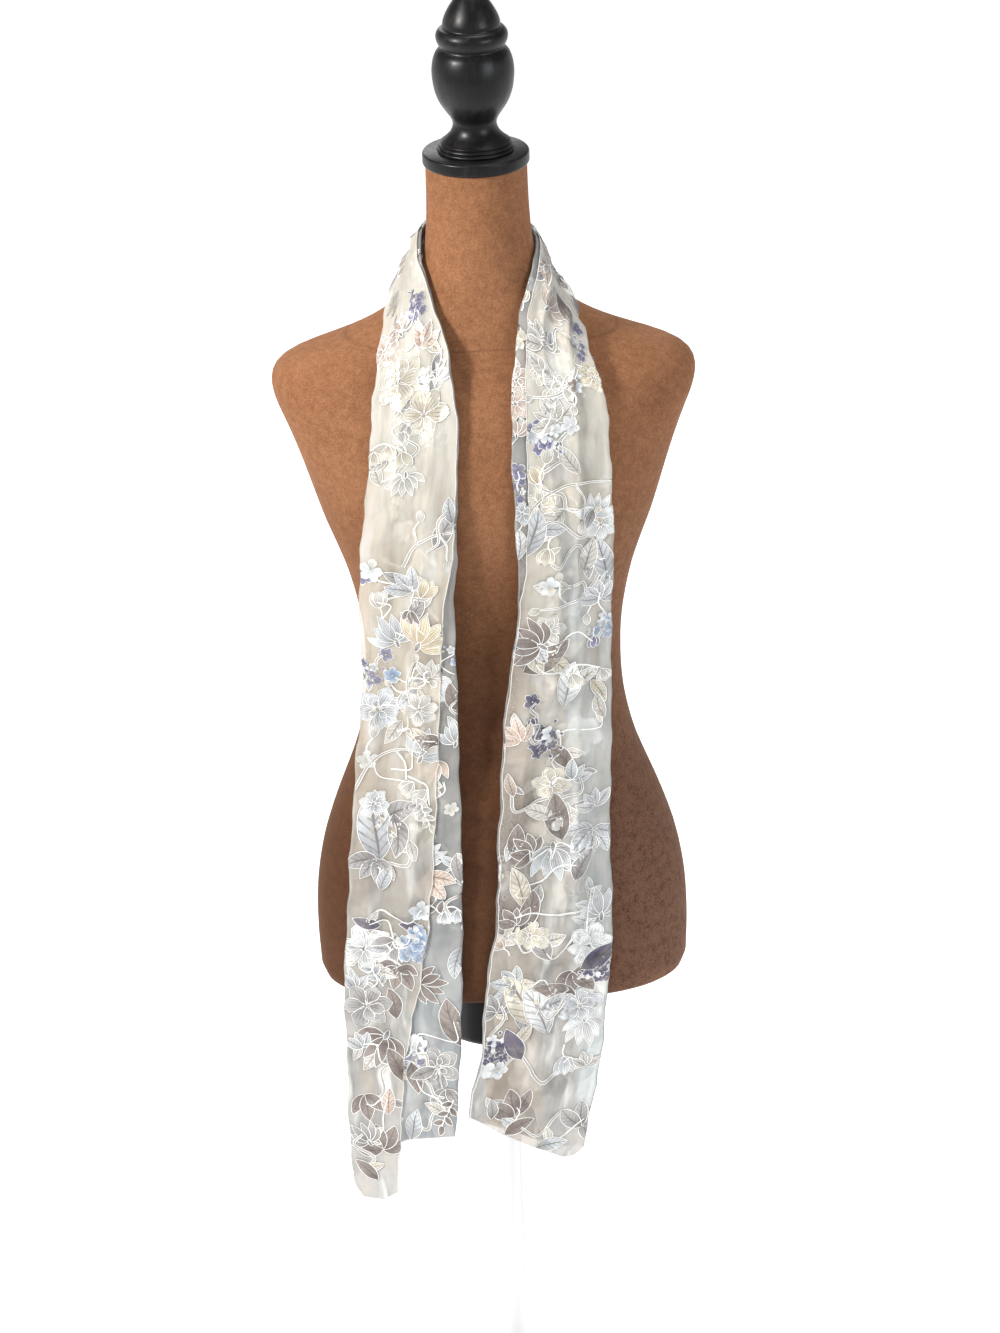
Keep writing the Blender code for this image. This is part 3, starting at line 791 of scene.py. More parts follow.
def hem_mesh(name, paths):
    """Rolled hems along open paths of points, joined in one mesh."""
    points, faces = [], []
    for path in paths:
        tangents = np.gradient(path, axis=0)
        tangents /= np.linalg.norm(tangents, axis=1, keepdims=True)
        side_way = np.cross(tangents, np.array((0.3, -1.0, 0.2)))
        side_way /= np.linalg.norm(side_way, axis=1, keepdims=True)
        up_way = np.cross(tangents, side_way)
        first = len(points)
        for k in range(len(path)):
            for s in range(HEM_SIDES):
                a = 2 * math.pi * s / HEM_SIDES
                out = math.cos(a) * side_way[k] + math.sin(a) * up_way[k]
                points.append(path[k] + HEM_RADIUS * out)
        for k in range(len(path) - 1):
            for s in range(HEM_SIDES):
                a = first + k * HEM_SIDES + s
                b = first + k * HEM_SIDES + (s + 1) % HEM_SIDES
                faces.append((a, b, b + HEM_SIDES, a + HEM_SIDES))
        faces.append(tuple(range(first, first + HEM_SIDES))[::-1])
        faces.append(tuple(range(len(points) - HEM_SIDES, len(points))))
    mesh = bpy.data.meshes.new(name)
    mesh.from_pydata([tuple(p) for p in points], [], faces)
    return mesh


# ---- The satin flowers ------------------------------------------------------------------
# Where the burnt-out ground ends, the cloth is opaque satin: flowers, leaves, buds and vines
# printed in soft colours, each petal with a white edge and fine grey pen lines.

# The dark taupe, grey and dusk tints and the bright silver and white ones are partly printed colour and
# partly painted reflection: the satin dark where it turns from the light, bright where it flashes.
# each tint from a petal's base to its tip
TINTS = {
    "cream": ((0.50, 0.43, 0.33), (0.78, 0.73, 0.61)),
    "ivory": ((0.45, 0.43, 0.385), (0.74, 0.72, 0.665)),
    "yellow": ((0.56, 0.43, 0.26), (0.77, 0.70, 0.53)),
    "peach": ((0.50, 0.34, 0.26), (0.76, 0.64, 0.55)),
    "taupe": ((0.115, 0.09, 0.08), (0.31, 0.26, 0.23)),
    "grey": ((0.18, 0.17, 0.17), (0.46, 0.45, 0.445)),
    "silver": ((0.27, 0.285, 0.305), (0.68, 0.71, 0.73)),
    "violet": ((0.085, 0.08, 0.155), (0.26, 0.255, 0.385)),
    "blue": ((0.13, 0.18, 0.30), (0.38, 0.48, 0.63)),
    "dusk": ((0.045, 0.04, 0.075), (0.14, 0.125, 0.185)),
    "white": ((0.46, 0.48, 0.49), (0.84, 0.855, 0.85)),
}
PETAL, LEAF, STEM, HALO = 0.0, 1.0, 2.0, 3.0


class Drawing:
    """Flat patches of satin in millimetres: points, order, petal places, edges and colours."""

    def __init__(self, seed):
        self.random = random.Random(seed)
        self.points, self.faces, self.order, self.petal_uv = [], [], [], []
        self.edge, self.kind, self.colour = [], [], []
        self.count = 0

    def patch(self, points, petal_uv, edge, colours, kind):
        total = points.shape[0] * points.shape[1]
        self.order.append(np.full(total, float(len(self.points))))
        self.points.append(points.reshape(-1, 2))
        self.petal_uv.append(petal_uv.reshape(-1, 2))
        self.edge.append(edge.ravel())
        self.colour.append(colours.reshape(-1, 3))
        self.kind.append(np.full(total, kind))
        self.faces.append(self.count + grid_quads(*points.shape[:2]))
        self.count += total

    def petal(self, x, y, angle, length, half_width, tint, kind=PETAL, crown=1.3, full=0.6,
              bend=0.0, ruffle=0.0, long_steps=11, wide_steps=6):
        """A petal or leaf from its foot at x, y, in millimetres and radians."""
        s = np.linspace(0, 1, long_steps)
        heading = angle + bend * (s - 0.3)
        step = length / (long_steps - 1)
        way = np.stack((np.cos(heading), np.sin(heading)), axis=1)
        spine = np.vstack(((0, 0), np.cumsum(way[:-1] * step, axis=0))) + np.array((x, y))
        side_way = np.stack((-way[:, 1], way[:, 0]), axis=1)
        half = half_width * np.maximum(np.sin(math.pi * s ** crown), 0) ** full
        half[0] = max(half[0], 0.12 * half_width)
        half[-1] = max(half[-1], 0.02 * half_width)
        t = np.linspace(-1, 1, wide_steps + 1)
        wobble = 1 + ruffle * np.sin(s * 17 + self.random.uniform(0, 6))
        points = spine[:, None, :] + side_way[:, None, :] * (half * wobble)[:, None, None] * t[None, :, None]
        to_side = half[:, None] * (1 - np.abs(t[None, :]))
        to_tip = ((1 - s) * length * 0.9)[:, None]
        edge = np.minimum(to_side, to_tip)
        base, tip = (np.array(c) for c in TINTS[tint])
        shade = self.random.uniform(0.94, 1.04)
        blend = np.clip(s[:, None] * 1.15 + 0.25 * np.abs(t[None, :]), 0, 1)[..., None]
        colours = np.clip((base * (1 - blend) + tip * blend) * shade, 0, 0.97)
        petal_uv = np.stack(np.broadcast_arrays(s[:, None], t[None, :]), axis=-1)
        self.patch(points, petal_uv, edge, colours, kind)

    def stem(self, route, width, tint="ivory"):
        """A vine or branch along a smooth route, thinner at its end."""
        route = np.array(route, dtype=float)
        fine = smooth_rows(route, np.linspace(0, len(route) - 1, 6 * (len(route) - 1) + 1))
        run = np.concatenate(([0], np.cumsum(np.linalg.norm(np.diff(fine, axis=0), axis=1))))
        s = run / run[-1]
        way = np.gradient(fine, axis=0)
        way /= np.linalg.norm(way, axis=1, keepdims=True)
        side_way = np.stack((-way[:, 1], way[:, 0]), axis=1)
        half = width / 2 * (1 - 0.45 * s)
        t = np.array((-1.0, 0.0, 1.0))
        points = fine[:, None, :] + side_way[:, None, :] * half[:, None, None] * t[None, :, None]
        edge = half[:, None] * (1 - np.abs(t[None, :]))
        base, tip = (np.array(c) for c in TINTS[tint])
        colours = np.broadcast_to((base + tip) / 2, (len(fine), 3, 3)).copy()
        petal_uv = np.stack(np.broadcast_arrays(run[:, None] / 1000, t[None, :]), axis=-1)
        self.patch(points, petal_uv, edge, colours, STEM)

    def peony(self, size, tint):
        """A full flower: rings of ruffled petals, smaller towards the heart."""
        rings = ((1.0, 6, 0.36), (0.74, 5, 0.38), (0.44, 4, 0.36))
        for reach, count, fat in rings:
            start = self.random.uniform(0, 6.28)
            for k in range(count):
                angle = start + 2 * math.pi * k / count + self.random.uniform(-0.15, 0.15)
                length = size / 2 * reach * self.random.uniform(0.86, 1.06)
                self.petal(
                    0.05 * size * math.cos(angle), 0.05 * size * math.sin(angle), angle, length,
                    length * fat, tint, crown=1.25, full=0.72, ruffle=0.06,
                    bend=self.random.uniform(-0.5, 0.5),
                )

    def lily(self, size, tint):
        """A side view: long pointed petals fanned upward from a calyx."""
        for k, spread in enumerate((-1.25, 1.2, -0.75, 0.7, -0.25, 0.25)):
            length = size * (0.62 + 0.07 * (k % 3))
            self.petal(0, -0.25 * size, math.pi / 2 + spread, length, size * 0.13, tint,
                       crown=0.95, full=0.85, bend=-0.7 * spread)
        self.petal(0, -0.42 * size, math.pi / 2, size * 0.26, size * 0.06, "grey", LEAF, crown=0.9)

    def star(self, size, tint):
        """A small open flower of five petals on its own white satin edge."""
        start = self.random.uniform(0, 6.28)
        angles = [start + 2 * math.pi * k / 5 + self.random.uniform(-0.14, 0.14) for k in range(5)]
        edge_and_petals = ((0.59, 0.215, "white", 1.4, 0.6), (0.52, 0.18, tint, 1.3, 0.7))
        for length, half_width, colour, crown, full in edge_and_petals:
            for angle in angles:
                self.petal(0, 0, angle, size * length, size * half_width, colour, HALO, crown=crown,
                           full=full, long_steps=6, wide_steps=2)
        self.petal(-0.05 * size, 0, 0, size * 0.12, size * 0.055, "cream", HALO, crown=1.0,
                   long_steps=4, wide_steps=2)

    def moved(self, action, x, y, turn, *values, **named):
        """Draw something at x, y, turned by so many radians."""
        first = len(self.points)
        action(*values, **named)
        c, s = math.cos(turn), math.sin(turn)
        spin = np.array(((c, s), (-s, c)))
        for k in range(first, len(self.points)):
            self.points[k] = self.points[k] @ spin + np.array((x, y))

    def cluster(self, size, tint):
        """A posy of small open flowers with a few buds round it."""
        GOLDEN_TURN = 2.4
        count = max(3, int((size / 8.8) ** 2))
        for k in range(count):
            r = size * 0.46 * math.sqrt((k + 0.5) / count)
            a = GOLDEN_TURN * k + self.random.uniform(-0.2, 0.2)
            flower = size * 0.4 * self.random.uniform(0.8, 1.15)
            kind = tint if self.random.random() < 0.85 else "silver"
            self.moved(self.star, r * math.cos(a), r * math.sin(a), 0, flower, kind)
        for k in range(4):
            a = self.random.uniform(0, 6.28)
            r = size * self.random.uniform(0.5, 0.62)
            x, y = r * math.cos(a), r * math.sin(a)
            self.petal(x, y, a, size * 0.17, size * 0.075, "white", HALO, crown=1.2,
                       long_steps=6, wide_steps=2)
            self.petal(x + math.cos(a) * size * 0.02, y + math.sin(a) * size * 0.02, a, size * 0.12,
                       size * 0.045, tint, HALO, crown=1.2, long_steps=6, wide_steps=2)

    def leaf(self, size, tint):
        self.petal(0, -size / 2, math.pi / 2, size, size * 0.24, tint, LEAF, crown=0.85, full=0.8,
                   bend=self.random.uniform(-0.5, 0.5), long_steps=12, wide_steps=6)

    def leaves(self, size, tint):
        """Three to five leaves from one point, like a bract."""
        count = self.random.choice((3, 4, 5))
        for k in range(count):
            spread = (k - (count - 1) / 2) * 0.72
            length = size * self.random.uniform(0.55, 0.75)
            self.petal(0, -size * 0.2, math.pi / 2 + spread, length, length * 0.26, tint, LEAF,
                       crown=0.85, full=0.75, bend=-0.5 * spread, long_steps=10, wide_steps=4)

    def spray(self, size, tint):
        """A curved stalk with leaves down both sides and one at its end."""
        lean = self.random.uniform(-0.25, 0.25)
        self.stem([(0, -size / 2), (lean * size * 0.5, -size * 0.1), (lean * size, size * 0.3)], 1.6)
        for k in range(5):
            t = k / 5
            x = lean * size * t
            y = -size * 0.42 + size * 0.7 * t
            way = math.pi / 2 + (0.9 if k % 2 else -0.9)
            self.petal(x, y, way, size * 0.3, size * 0.085, tint, LEAF, crown=0.85, full=0.75,
                       bend=0.4 if k % 2 else -0.4)
        self.petal(lean * size, size * 0.28, math.pi / 2, size * 0.3, size * 0.085, tint, LEAF, crown=0.85)

    def bells(self, size, tint):
        """A drooping stalk with two or three bell flowers."""
        self.stem([(-size * 0.5, size * 0.3), (-size * 0.1, size * 0.42), (size * 0.3, size * 0.15)], 1.7)
        for x, y in ((-0.32, 0.3), (0.0, 0.36), (0.3, 0.12)):
            for spread in (-0.42, 0.42, 0.0):
                self.petal(x * size, y * size, -math.pi / 2 + spread, size * 0.36, size * 0.1, tint,
                           crown=1.3, full=0.6, bend=0.5 * spread)

    def branch(self, size, tint):
        """An arched bare branch that forks, with buds."""
        self.stem([(-size / 2, -size * 0.3), (-size * 0.28, size * 0.1), (0.05 * size, size * 0.3),
                   (size / 2, size * 0.34)], 3.2, tint)
        up_twig = [(-size * 0.28, size * 0.1), (-size * 0.36, size * 0.34), (-size * 0.3, size * 0.5)]
        down_twig = [(0.05 * size, size * 0.3), (0.2 * size, 0.1 * size), (0.22 * size, -0.14 * size)]
        self.stem(up_twig, 2.0, tint)
        self.stem(down_twig, 2.0, tint)
        for x, y, a in ((-0.3, 0.5, 1.4), (0.5, 0.34, 0.2), (0.22, -0.14, -1.5)):
            self.petal(x * size, y * size, a, size * 0.2, size * 0.07, "ivory", crown=1.0)

    def bud(self, size, tint):
        for spread in (-0.4, 0.4, 0.0):
            self.petal(0, -size * 0.35, math.pi / 2 + spread, size * 0.75, size * 0.2, tint,
                       crown=1.1, full=0.7, bend=-0.9 * spread)
        self.stem([(0, -size * 0.8), (0.06 * size, -size * 0.55), (0, -size * 0.3)], 1.4)


SATIN_LIFT = 0.22
PATCH_STEP = 0.03


def lay_drawing(name, drawing, run, inward):
    """Lay a drawing's points on the strip: each has its own run and inward place."""
    index = np.interp(run, run_of, fine_index)
    width, front, rear = layer_reach(index)
    inward = np.clip(inward, -width - rear, front)
    for side in (-1, 1):
        end = hem_index(side, index, inward)
        on_side = np.sign(index - BACK) == side
        limit = np.minimum(index, end) if side > 0 else np.maximum(index, end)
        index = np.where(on_side, limit, index)
    proud = SATIN_LIFT + PATCH_STEP * np.mod(np.concatenate(drawing.order), 30)
    laid = cloth_points(index, inward, proud)
    faces = np.concatenate(drawing.faces)
    corners = laid[faces]
    span = np.linalg.norm(np.cross(corners[:, 2] - corners[:, 0], corners[:, 3] - corners[:, 1]), axis=1)
    faces = faces[span > 2e-9]
    used = np.unique(faces)
    renumber = np.zeros(len(laid), dtype=int)
    renumber[used] = np.arange(len(used))
    faces = renumber[faces]
    mesh = bpy.data.meshes.new(name)
    mesh.from_pydata(laid[used].tolist(), [], faces.tolist())
    lay_uv(mesh, "petal", np.concatenate(drawing.petal_uv)[used], faces)
    for attribute, values in (("edge", drawing.edge), ("kind", drawing.kind)):
        made = mesh.attributes.new(attribute, "FLOAT", "POINT")
        made.data.foreach_set("value", np.concatenate(values)[used].astype(np.float32))
    colours = np.concatenate(drawing.colour)[used]
    made = mesh.attributes.new("tint", "FLOAT_COLOR", "POINT")
    opaque = np.ones((len(colours), 1))
    made.data.foreach_set("color", np.hstack((colours, opaque)).astype(np.float32).ravel())
    return mesh


satin, wires, place, plug = new_finish("printed_satin", Specular_IOR_Level=0.6)
tint = wires.node("Attribute", {"attribute_name": "tint"}, out="Color")
edge = wires.node("Attribute", {"attribute_name": "edge"}, out="Fac")
kind = wires.node("Attribute", {"attribute_name": "kind"}, out="Fac")
petal_place = wires.node("UVMap", {"uv_map": "petal"})
along_petal = petal_place.axis("X")
over_petal = petal_place.axis("Y")
wash = place.noise(90, 3)
sheen_streak = place.noise(500, 2, (1, 1, 0.15))
off_middle = over_petal.size()
is_leaf = wires.sum("COMPARE", kind, LEAF, 0.3)
is_petal = wires.sum("COMPARE", kind, PETAL, 0.3)
is_halo = wires.sum("COMPARE", kind, HALO, 0.3)
midrib = 1 - off_middle.between(0.04, 0.12)
side_vein = wires.sum("FRACT", along_petal * 6.5 - off_middle * 1.5)
side_vein = 1 - (side_vein - 0.5).size().between(0.06, 0.14)
rays = wires.sum("FRACT", over_petal * 2.4 + 0.5)
rays = (1 - (rays - 0.5).size().between(0.05, 0.13)) * (1 - along_petal.between(0.55, 0.8))
pen = is_leaf * wires.sum("MAXIMUM", midrib, side_vein * 0.7) + is_petal * rays
inner_line = edge.between(0.65, 0.85) * (1 - edge.between(1.0, 1.3))
pen = wires.sum("MAXIMUM", pen * edge.between(0.9, 1.3), inner_line * 0.9) * (1 - is_halo)
border = (1 - edge.between(0.45, 0.7)) * (1 - is_halo)
washed = (wash.between(0.4, 0.7) * 0.35).mix(tint, (0.40, 0.37, 0.335))
drawn = (pen * 0.75).mix(washed, (0.13, 0.105, 0.095))
# Painted shade: the satin is darker where it turns to the sides.
turned = wires.node("TexCoord", out="Normal").axis("X").size().between(0.42, 0.95)
outlined = border.mix(drawn, (0.95, 0.945, 0.915))
plug("Base Color", (turned * 0.6).mix(outlined, (0.20, 0.185, 0.18)))
plug("Roughness", sheen_streak * 0.25 + 0.26)
plug("Metallic", (1 - border) * 0.3)
wrinkle = (place.noise(24, 1.5, (1, 1, 0.7)) - 0.5).size()
rumpled = 1 - place.axis("Z").between(form_foot, form_foot + 0.16)
satin_relief = sheen_streak * 0.0002 + edge.between(0.0, 1.2) * 0.0003 + place.noise(70, 2) * 0.006
satin_relief = satin_relief + wrinkle * (rumpled * 0.03 + 0.008)
plug("Normal", satin_relief.bump(0.7, 1.0))

# The motifs of each fall's front and middle layers: kind, x and height above the form's foot,
# size, turn in degrees, and tint.
# Where a crease turns the satin from the light, the tints are painted reflection: dark taupe, grey and dusk,
# and silver and white where it flashes.
LEFT_FRONT = [
    ("spray", -62, 645, 26, 20, "peach"), ("cluster", -52, 624, 20, 0, "violet"),
    ("star", -70, 622, 15, 0, "cream"), ("lily", -68, 606, 22, 40, "peach"),
    ("leaves", -46, 604, 26, -40, "peach"), ("peony", -80, 592, 26, 0, "peach"),
    ("peony", -70, 572, 38, 0, "cream"), ("peony", -46, 574, 22, 0, "ivory"),
    ("leaves", -36, 584, 20, -70, "grey"), ("peony", -50, 548, 34, 0, "cream"),
    ("spray", -66, 545, 24, 200, "ivory"), ("bells", -80, 512, 34, 10, "cream"),
    ("bud", -68, 530, 16, 160, "ivory"), ("lily", -66, 492, 22, 190, "ivory"),
    ("leaf", -92, 500, 22, 30, "ivory"), ("branch", -46, 432, 46, 0, "ivory"),
    ("leaf", -30, 470, 20, 10, "silver"), ("star", -100, 412, 16, 0, "ivory"),
    ("star", -106, 405, 12, 0, "violet"), ("leaves", -70, 398, 30, 40, "silver"),
    ("leaf", -62, 380, 24, -30, "grey"), ("bud", -52, 396, 20, -30, "yellow"),
    ("bud", -94, 384, 18, 5, "ivory"), ("lily", -82, 356, 32, 20, "silver"),
    ("lily", -55, 356, 36, -30, "yellow"), ("leaves", -66, 372, 18, 180, "taupe"),
    ("star", -90, 333, 11, 0, "violet"), ("cluster", -104, 315, 20, 0, "violet"),
    ("star", -84, 314, 12, 0, "blue"), ("leaves", -52, 322, 26, -10, "ivory"),
    ("branch", -62, 306, 34, 60, "cream"), ("peony", -98, 284, 36, 0, "silver"),
    ("leaves", -74, 288, 26, -60, "ivory"), ("peony", -62, 286, 26, 0, "ivory"),
    ("leaf", -86, 262, 22, 150, "ivory"), ("lily", -58, 250, 30, -20, "silver"),
    ("leaf", -54, 256, 26, 70, "taupe"), ("branch", -90, 226, 52, 0, "ivory"),
    ("star", -108, 236, 14, 0, "ivory"), ("bells", -70, 198, 36, -40, "ivory"),
    ("spray", -62, 186, 26, 200, "ivory"), ("leaf", -104, 176, 56, 12, "silver"),
    ("leaf", -86, 166, 34, 190, "grey"), ("peony", -106, 196, 22, 0, "silver"),
    ("leaves", -108, 134, 36, 160, "grey"), ("leaf", -98, 126, 22, -20, "silver"),
    ("leaf", -74, 152, 18, 200, "ivory"), ("star", -68, 96, 15, 0, "silver"),
    ("leaf", -116, 82, 22, 80, "dusk"), ("cluster", -76, 64, 26, 0, "blue"),
    ("leaf", -78, 80, 18, 70, "dusk"), ("peony", -118, 58, 38, 0, "white"),
    ("lily", -96, 58, 30, 170, "grey"), ("leaves", -92, 34, 30, 170, "taupe"),
    ("spray", -112, 36, 30, 30, "silver"), ("peony", -118, 4, 34, 0, "grey"),
    ("leaf", -96, 6, 26, 10, "taupe"), ("leaves", -128, 24, 20, 0, "silver"),
    ("lily", -110, -36, 36, 150, "taupe"), ("leaves", -126, -34, 24, 20, "silver"),
    ("leaf", -96, -52, 30, 20, "taupe"), ("leaves", -124, -92, 34, 190, "taupe"),
    ("leaf", -104, -88, 22, 0, "peach"), ("leaves", -112, -130, 30, 10, "taupe"),
    ("lily", -126, -122, 24, 30, "grey"), ("leaf", -124, -156, 22, 40, "taupe"),
]
LEFT_MIDDLE = [
    ("cluster", -32, 336, 14, 0, "blue"), ("leaf", -34, 296, 24, 20, "taupe"),
    ("lily", -34, 262, 24, 0, "silver"), ("star", -40, 190, 10, 0, "ivory"),
    ("branch", -42, 122, 34, 20, "silver"), ("leaf", -36, 136, 24, 10, "grey"),
    ("bells", -40, 84, 30, 0, "silver"), ("leaf", -46, -10, 40, 15, "taupe"),
    ("cluster", -78, -44, 18, 0, "violet"), ("peony", -62, -56, 34, 0, "grey"),
    ("leaves", -56, -84, 30, 180, "grey"), ("leaf", -82, -66, 26, 190, "taupe"),
    ("spray", -54, -104, 30, 160, "taupe"), ("leaf", -84, -112, 26, -15, "silver"),
    ("leaf", -42, 46, 26, 170, "silver"),
]
RIGHT_FRONT = [
    ("leaf", 50, 646, 20, 200, "peach"), ("leaves", 62, 640, 18, 160, "taupe"),
    ("lily", 56, 622, 24, -40, "peach"), ("leaf", 66, 616, 24, 220, "taupe"),
    ("leaf", 76, 612, 16, 30, "grey"), ("leaves", 44, 602, 24, 30, "ivory"),
    ("leaf", 54, 596, 18, 80, "ivory"), ("star", 76, 602, 11, 0, "violet"),
    ("cluster", 78, 588, 16, 0, "violet"), ("peony", 90, 570, 26, 0, "yellow"),
    ("star", 74, 566, 10, 0, "taupe"), ("peony", 46, 578, 18, 0, "cream"),
    ("branch", 58, 572, 36, 180, "ivory"), ("peony", 64, 566, 20, 0, "ivory"),
    ("bud", 54, 560, 14, 150, "cream"), ("leaves", 54, 546, 28, 30, "ivory"),
    ("cluster", 46, 528, 24, 0, "violet"), ("star", 70, 536, 12, 0, "violet"),
    ("bud", 58, 520, 10, 0, "dusk"), ("leaf", 66, 508, 24, 30, "ivory"),
    ("bud", 40, 496, 18, 20, "yellow"), ("branch", 62, 466, 62, -10, "ivory"),
    ("lily", 88, 462, 26, 0, "white"), ("peony", 42, 470, 30, 0, "cream"),
    ("leaf", 36, 446, 38, -20, "silver"), ("peony", 92, 446, 24, 0, "white"),
    ("leaf", 94, 416, 34, 10, "silver"), ("leaf", 80, 420, 28, -20, "ivory"),
    ("bud", 44, 424, 18, 170, "cream"), ("star", 46, 396, 14, 0, "cream"),
    ("branch", 66, 392, 44, 180, "ivory"), ("leaves", 90, 384, 26, 10, "silver"),
    ("cluster", 95, 352, 20, 0, "blue"), ("bud", 84, 340, 14, 180, "violet"),
    ("lily", 30, 346, 34, 60, "taupe"), ("peony", 46, 356, 24, 0, "ivory"),
    ("leaf", 44, 330, 40, -60, "taupe"), ("leaf", 34, 326, 26, 210, "cream"),
    ("leaf", 62, 304, 36, -10, "white"), ("bells", 80, 306, 34, 20, "ivory"),
    ("star", 30, 290, 12, 0, "dusk"), ("bud", 28, 272, 12, 0, "dusk"),
    ("cluster", 38, 254, 24, 0, "dusk"), ("leaves", 16, 262, 26, 30, "peach"),
    ("leaf", 86, 280, 20, 20, "ivory"), ("leaf", 52, 236, 26, 40, "taupe"),
    ("peony", 44, 210, 28, 0, "cream"), ("leaves", 66, 216, 24, -40, "silver"),
    ("leaf", 46, 182, 40, 10, "taupe"), ("peony", 54, 178, 24, 0, "ivory"),
    ("leaf", 8, 214, 18, 10, "peach"), ("leaves", 80, 190, 26, 20, "silver"),
    ("leaf", 12, 162, 26, -20, "taupe"), ("leaves", 22, 152, 24, 50, "taupe"),
    ("lily", 44, 140, 34, 180, "silver"), ("leaves", 78, 156, 34, 170, "silver"),
    ("leaf", 66, 134, 26, -30, "grey"), ("leaf", 14, 118, 34, 10, "cream"),
    ("leaf", 22, 96, 32, -20, "taupe"), ("leaves", 8, 88, 24, 20, "taupe"),
    ("spray", 66, 92, 40, 10, "white"), ("lily", 84, 92, 30, 0, "silver"),
    ("peony", 22, 72, 26, 0, "cream"), ("bud", -6, 66, 20, 40, "peach"),
    ("leaf", 32, 62, 30, 30, "grey"), ("peony", 72, 58, 34, 0, "white"),
    ("leaf", 82, 44, 32, -55, "dusk"), ("leaves", 62, 24, 34, 200, "taupe"),
    ("cluster", 80, 30, 20, 0, "dusk"), ("leaf", 40, 14, 34, 70, "taupe"),
    ("leaves", 4, 26, 30, 60, "silver"), ("leaf", 10, 8, 48, 25, "cream"),
    ("leaf", 26, -2, 44, 25, "white"), ("peony", 62, -2, 32, 0, "silver"),
    ("lily", 66, -26, 30, 180, "white"), ("leaves", -10, 4, 24, 20, "grey"),
    ("cluster", -12, -40, 22, 0, "dusk"), ("leaf", 6, -34, 30, 30, "dusk"),
    ("star", -22, -56, 16, 0, "ivory"), ("star", -10, -60, 14, 0, "silver"),
    ("bud", 48, -58, 22, 190, "silver"), ("leaves", 68, -58, 18, 0, "ivory"),
    ("leaves", 2, -98, 34, 20, "taupe"), ("leaf", 8, -116, 24, -60, "taupe"),
    ("leaves", 60, -112, 32, 10, "grey"), ("leaf", 34, -134, 24, -80, "silver"),
    ("leaf", -16, -96, 18, 10, "grey"),
]
RIGHT_MIDDLE = [
    ("bud", 30, 636, 12, 0, "cream"), ("star", 28, 606, 14, 0, "cream"),
    ("peony", 26, 574, 20, 0, "peach"), ("peony", 26, 556, 22, 0, "peach"),
    ("lily", 26, 536, 18, 0, "peach"), ("star", 26, 500, 12, 0, "violet"),
    ("cluster", 26, 484, 16, 0, "violet"), ("peony", 27, 464, 18, 0, "silver"),
    ("leaf", 26, 436, 24, 0, "white"),
]


MOTIF_SCALE = 1.18
VINE_REACH = 62


def draw_motifs(drawing, runs, inwards, side, layers):
    """Draw the motifs of the front layer's table and the middle layer's on a fall."""
    dice = drawing.random
    on_fall = (np.sign(fine_index - BACK) == side) & (np.abs(fine_index - BACK) >= 2)
    elsewhere = 1e6 * ~on_fall[:, None]
    for table, to_outer in zip(layers, (1, -1)):
        last = None
        for kind_name, x, height, size, turn, tint_name in table:
            size = size * MOTIF_SCALE
            near = (strip[..., 0] - x) ** 2 + (strip[..., 2] - height) ** 2 + elsewhere
            i, j = np.unravel_index(np.argmin(near), near.shape)
            centre = to_outer * (1 - j / ACROSS_STEPS) * width_of[i]
            first = len(drawing.points)
            if last and math.hypot(last[0] - x, last[1] - height) < VINE_REACH and kind_name != "star":
                away_x, away_y = last[0] - x, last[1] - height
                sway = dice.uniform(-0.3, 0.3)
                drawing.stem([
                    (0, 0), (away_x * 0.33 - away_y * sway, away_y * 0.33 + away_x * sway),
                    (away_x * 0.7 + away_y * sway, away_y * 0.7 - away_x * sway), (away_x, away_y),
                ], dice.choice((1.5, 1.8, 3.6)))
            last = (x, height)
            if size > 20 and dice.random() < 0.7:
                way = dice.uniform(0, 6.28)
                far = size * 0.36
                drawing.moved(
                    drawing.leaf, far * math.cos(way), far * math.sin(way), way - math.pi / 2,
                    size * 0.62, dice.choice(("ivory", "silver", "grey", "cream")),
                )
            drawing.moved(getattr(drawing, kind_name), 0, 0, math.radians(turn), size, tint_name)
            for points in drawing.points[first:]:
                runs.append(run_of[i] - side * points[:, 1])
                inwards.append(centre - to_outer * side * points[:, 0])


KINDS = ["peony", "lily", "leaves", "leaf", "spray", "bells", "branch", "star", "cluster", "bud"]
SCATTER_TINTS = ["ivory", "cream", "silver", "grey", "peach", "ivory", "white", "taupe"]


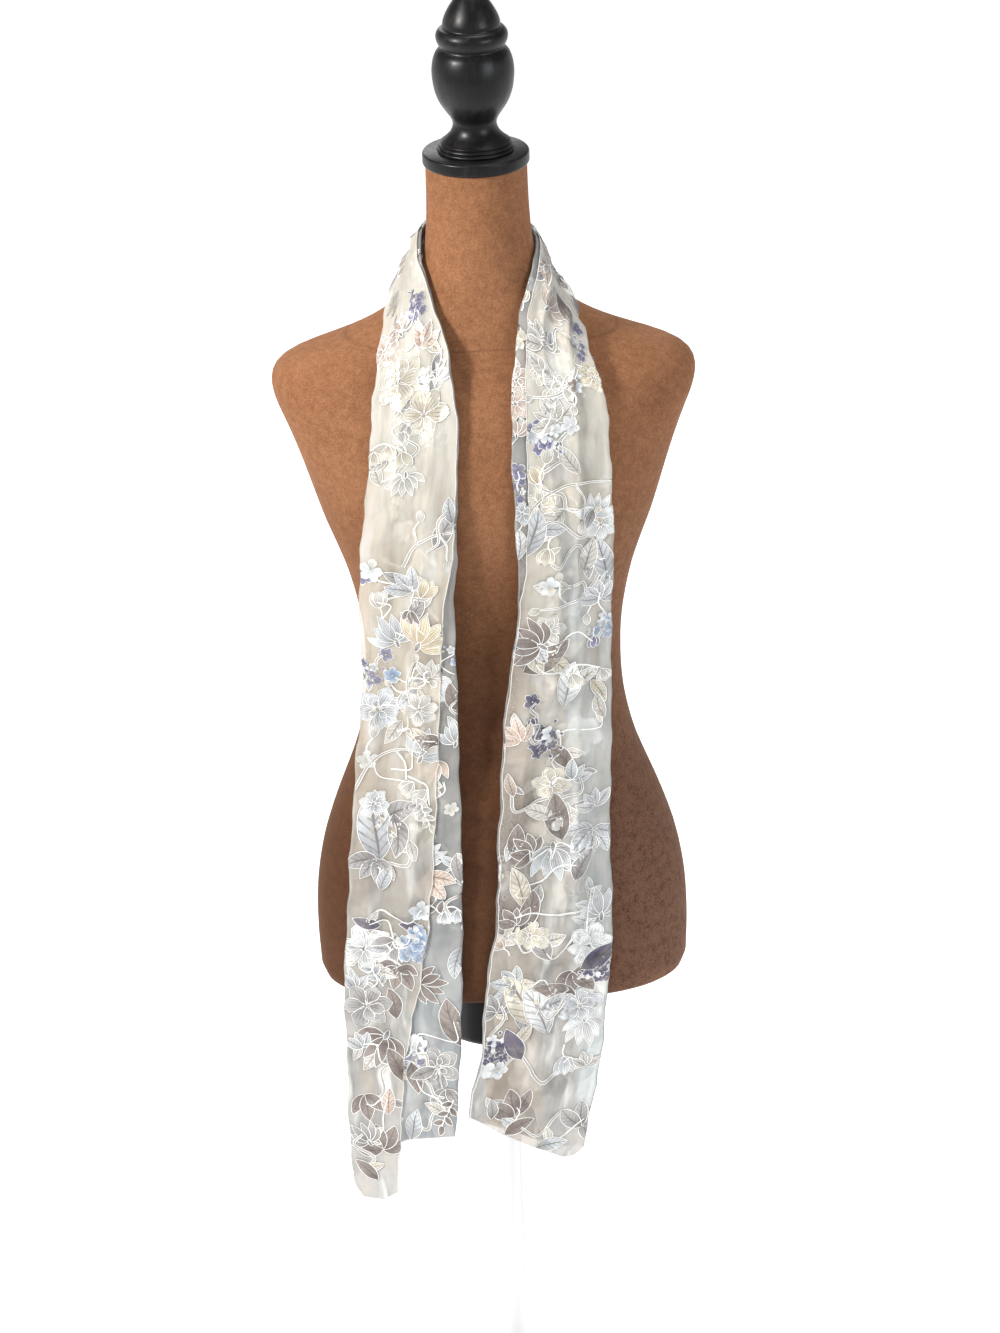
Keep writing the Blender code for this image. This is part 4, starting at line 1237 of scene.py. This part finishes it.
def scatter_motifs(drawing, runs, inwards, from_index, to_index, lanes):
    """Fill other layers with the same kinds of motif; lanes are ranges of inward shares."""
    dice = drawing.random
    start, end = sorted(np.interp((from_index, to_index), fine_index, run_of))
    for low, high in lanes:
        run = start
        while run < end:
            run += dice.uniform(17, 30)
            index = np.interp(run, run_of, fine_index)
            width = np.interp(index, fine_index, width_of)
            kind_name = dice.choice(KINDS)
            size = dice.uniform(24, 40) * (0.6 if kind_name in ("star", "bud") else 1)
            first = len(drawing.points)
            shade = "violet" if kind_name == "cluster" else dice.choice(SCATTER_TINTS)
            drawing.moved(getattr(drawing, kind_name), 0, 0, dice.uniform(0, 6.28), size, shade)
            centre = dice.uniform(low, high) * width
            for points in drawing.points[first:]:
                runs.append(run - points[:, 1])
                inwards.append(centre + points[:, 0])


# ---- Left and right falls, and the stretch round the neck -------------------------------
# Each stretch is a thin sheer sheet in its own solid's place, with its satin flowers lying on
# it and a narrow rolled hem along its free edges.


def cloth_stretch(name, index, inward, drawing, runs, inwards, hem_ends):
    points = cloth_points(index, inward, np.zeros_like(index))
    ground = link_piece(
        name + "_ground", sheet_mesh(name + "_ground", index, inward, points), chiffon,
    )
    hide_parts(name)
    flowers_mesh = lay_drawing(name + "_flowers", drawing, np.concatenate(runs), np.concatenate(inwards))
    flowers = link_piece(name + "_flowers", flowers_mesh, satin)
    hem_paths = [points[:, 0], points[:, -1]] + [points[row] for row in hem_ends]
    hem = link_piece(name + "_hem", hem_mesh(name + "_hem", hem_paths), rolled_hem)


# each fall: its side, motif tables, seed, lanes of scattered motifs, and flat length
for name, side, layers, seed, lanes, flat_length in (
    ("left_fall", -1, (LEFT_FRONT, LEFT_MIDDLE), 11, [(-0.75, -0.35), (-1.7, -1.15)], 0.88),
    ("right_fall", 1, (RIGHT_FRONT, RIGHT_MIDDLE), 12, [(-0.65, -0.3), (-1.6, -1.15)], 0.84),
):
    index, inward = fall_grid(side, 300, 90)
    drawing, runs, inwards = Drawing(seed), [], []
    draw_motifs(drawing, runs, inwards, side, layers)
    neck_seam = BACK + side * NECK_REACH
    scatter_motifs(drawing, runs, inwards, neck_seam, HANG[side] + side * 2.2, lanes)
    cloth_stretch(name, index, inward, drawing, runs, inwards, [-1])

neck_rows = np.linspace(BACK - NECK_REACH, BACK + NECK_REACH, 110)
index = np.repeat(neck_rows[:, None], SHEET_COLUMNS, axis=1)
drawing, runs, inwards = Drawing(13), [], []
scatter_motifs(
    drawing, runs, inwards, neck_rows[0] + 0.4, neck_rows[-1] - 0.4,
    [(0.2, 0.45), (0.5, 0.8), (-0.7, -0.3)],
)
cloth_stretch(
    "neck_wrap", index, sheet_columns(neck_rows), drawing, runs, inwards, [],
)
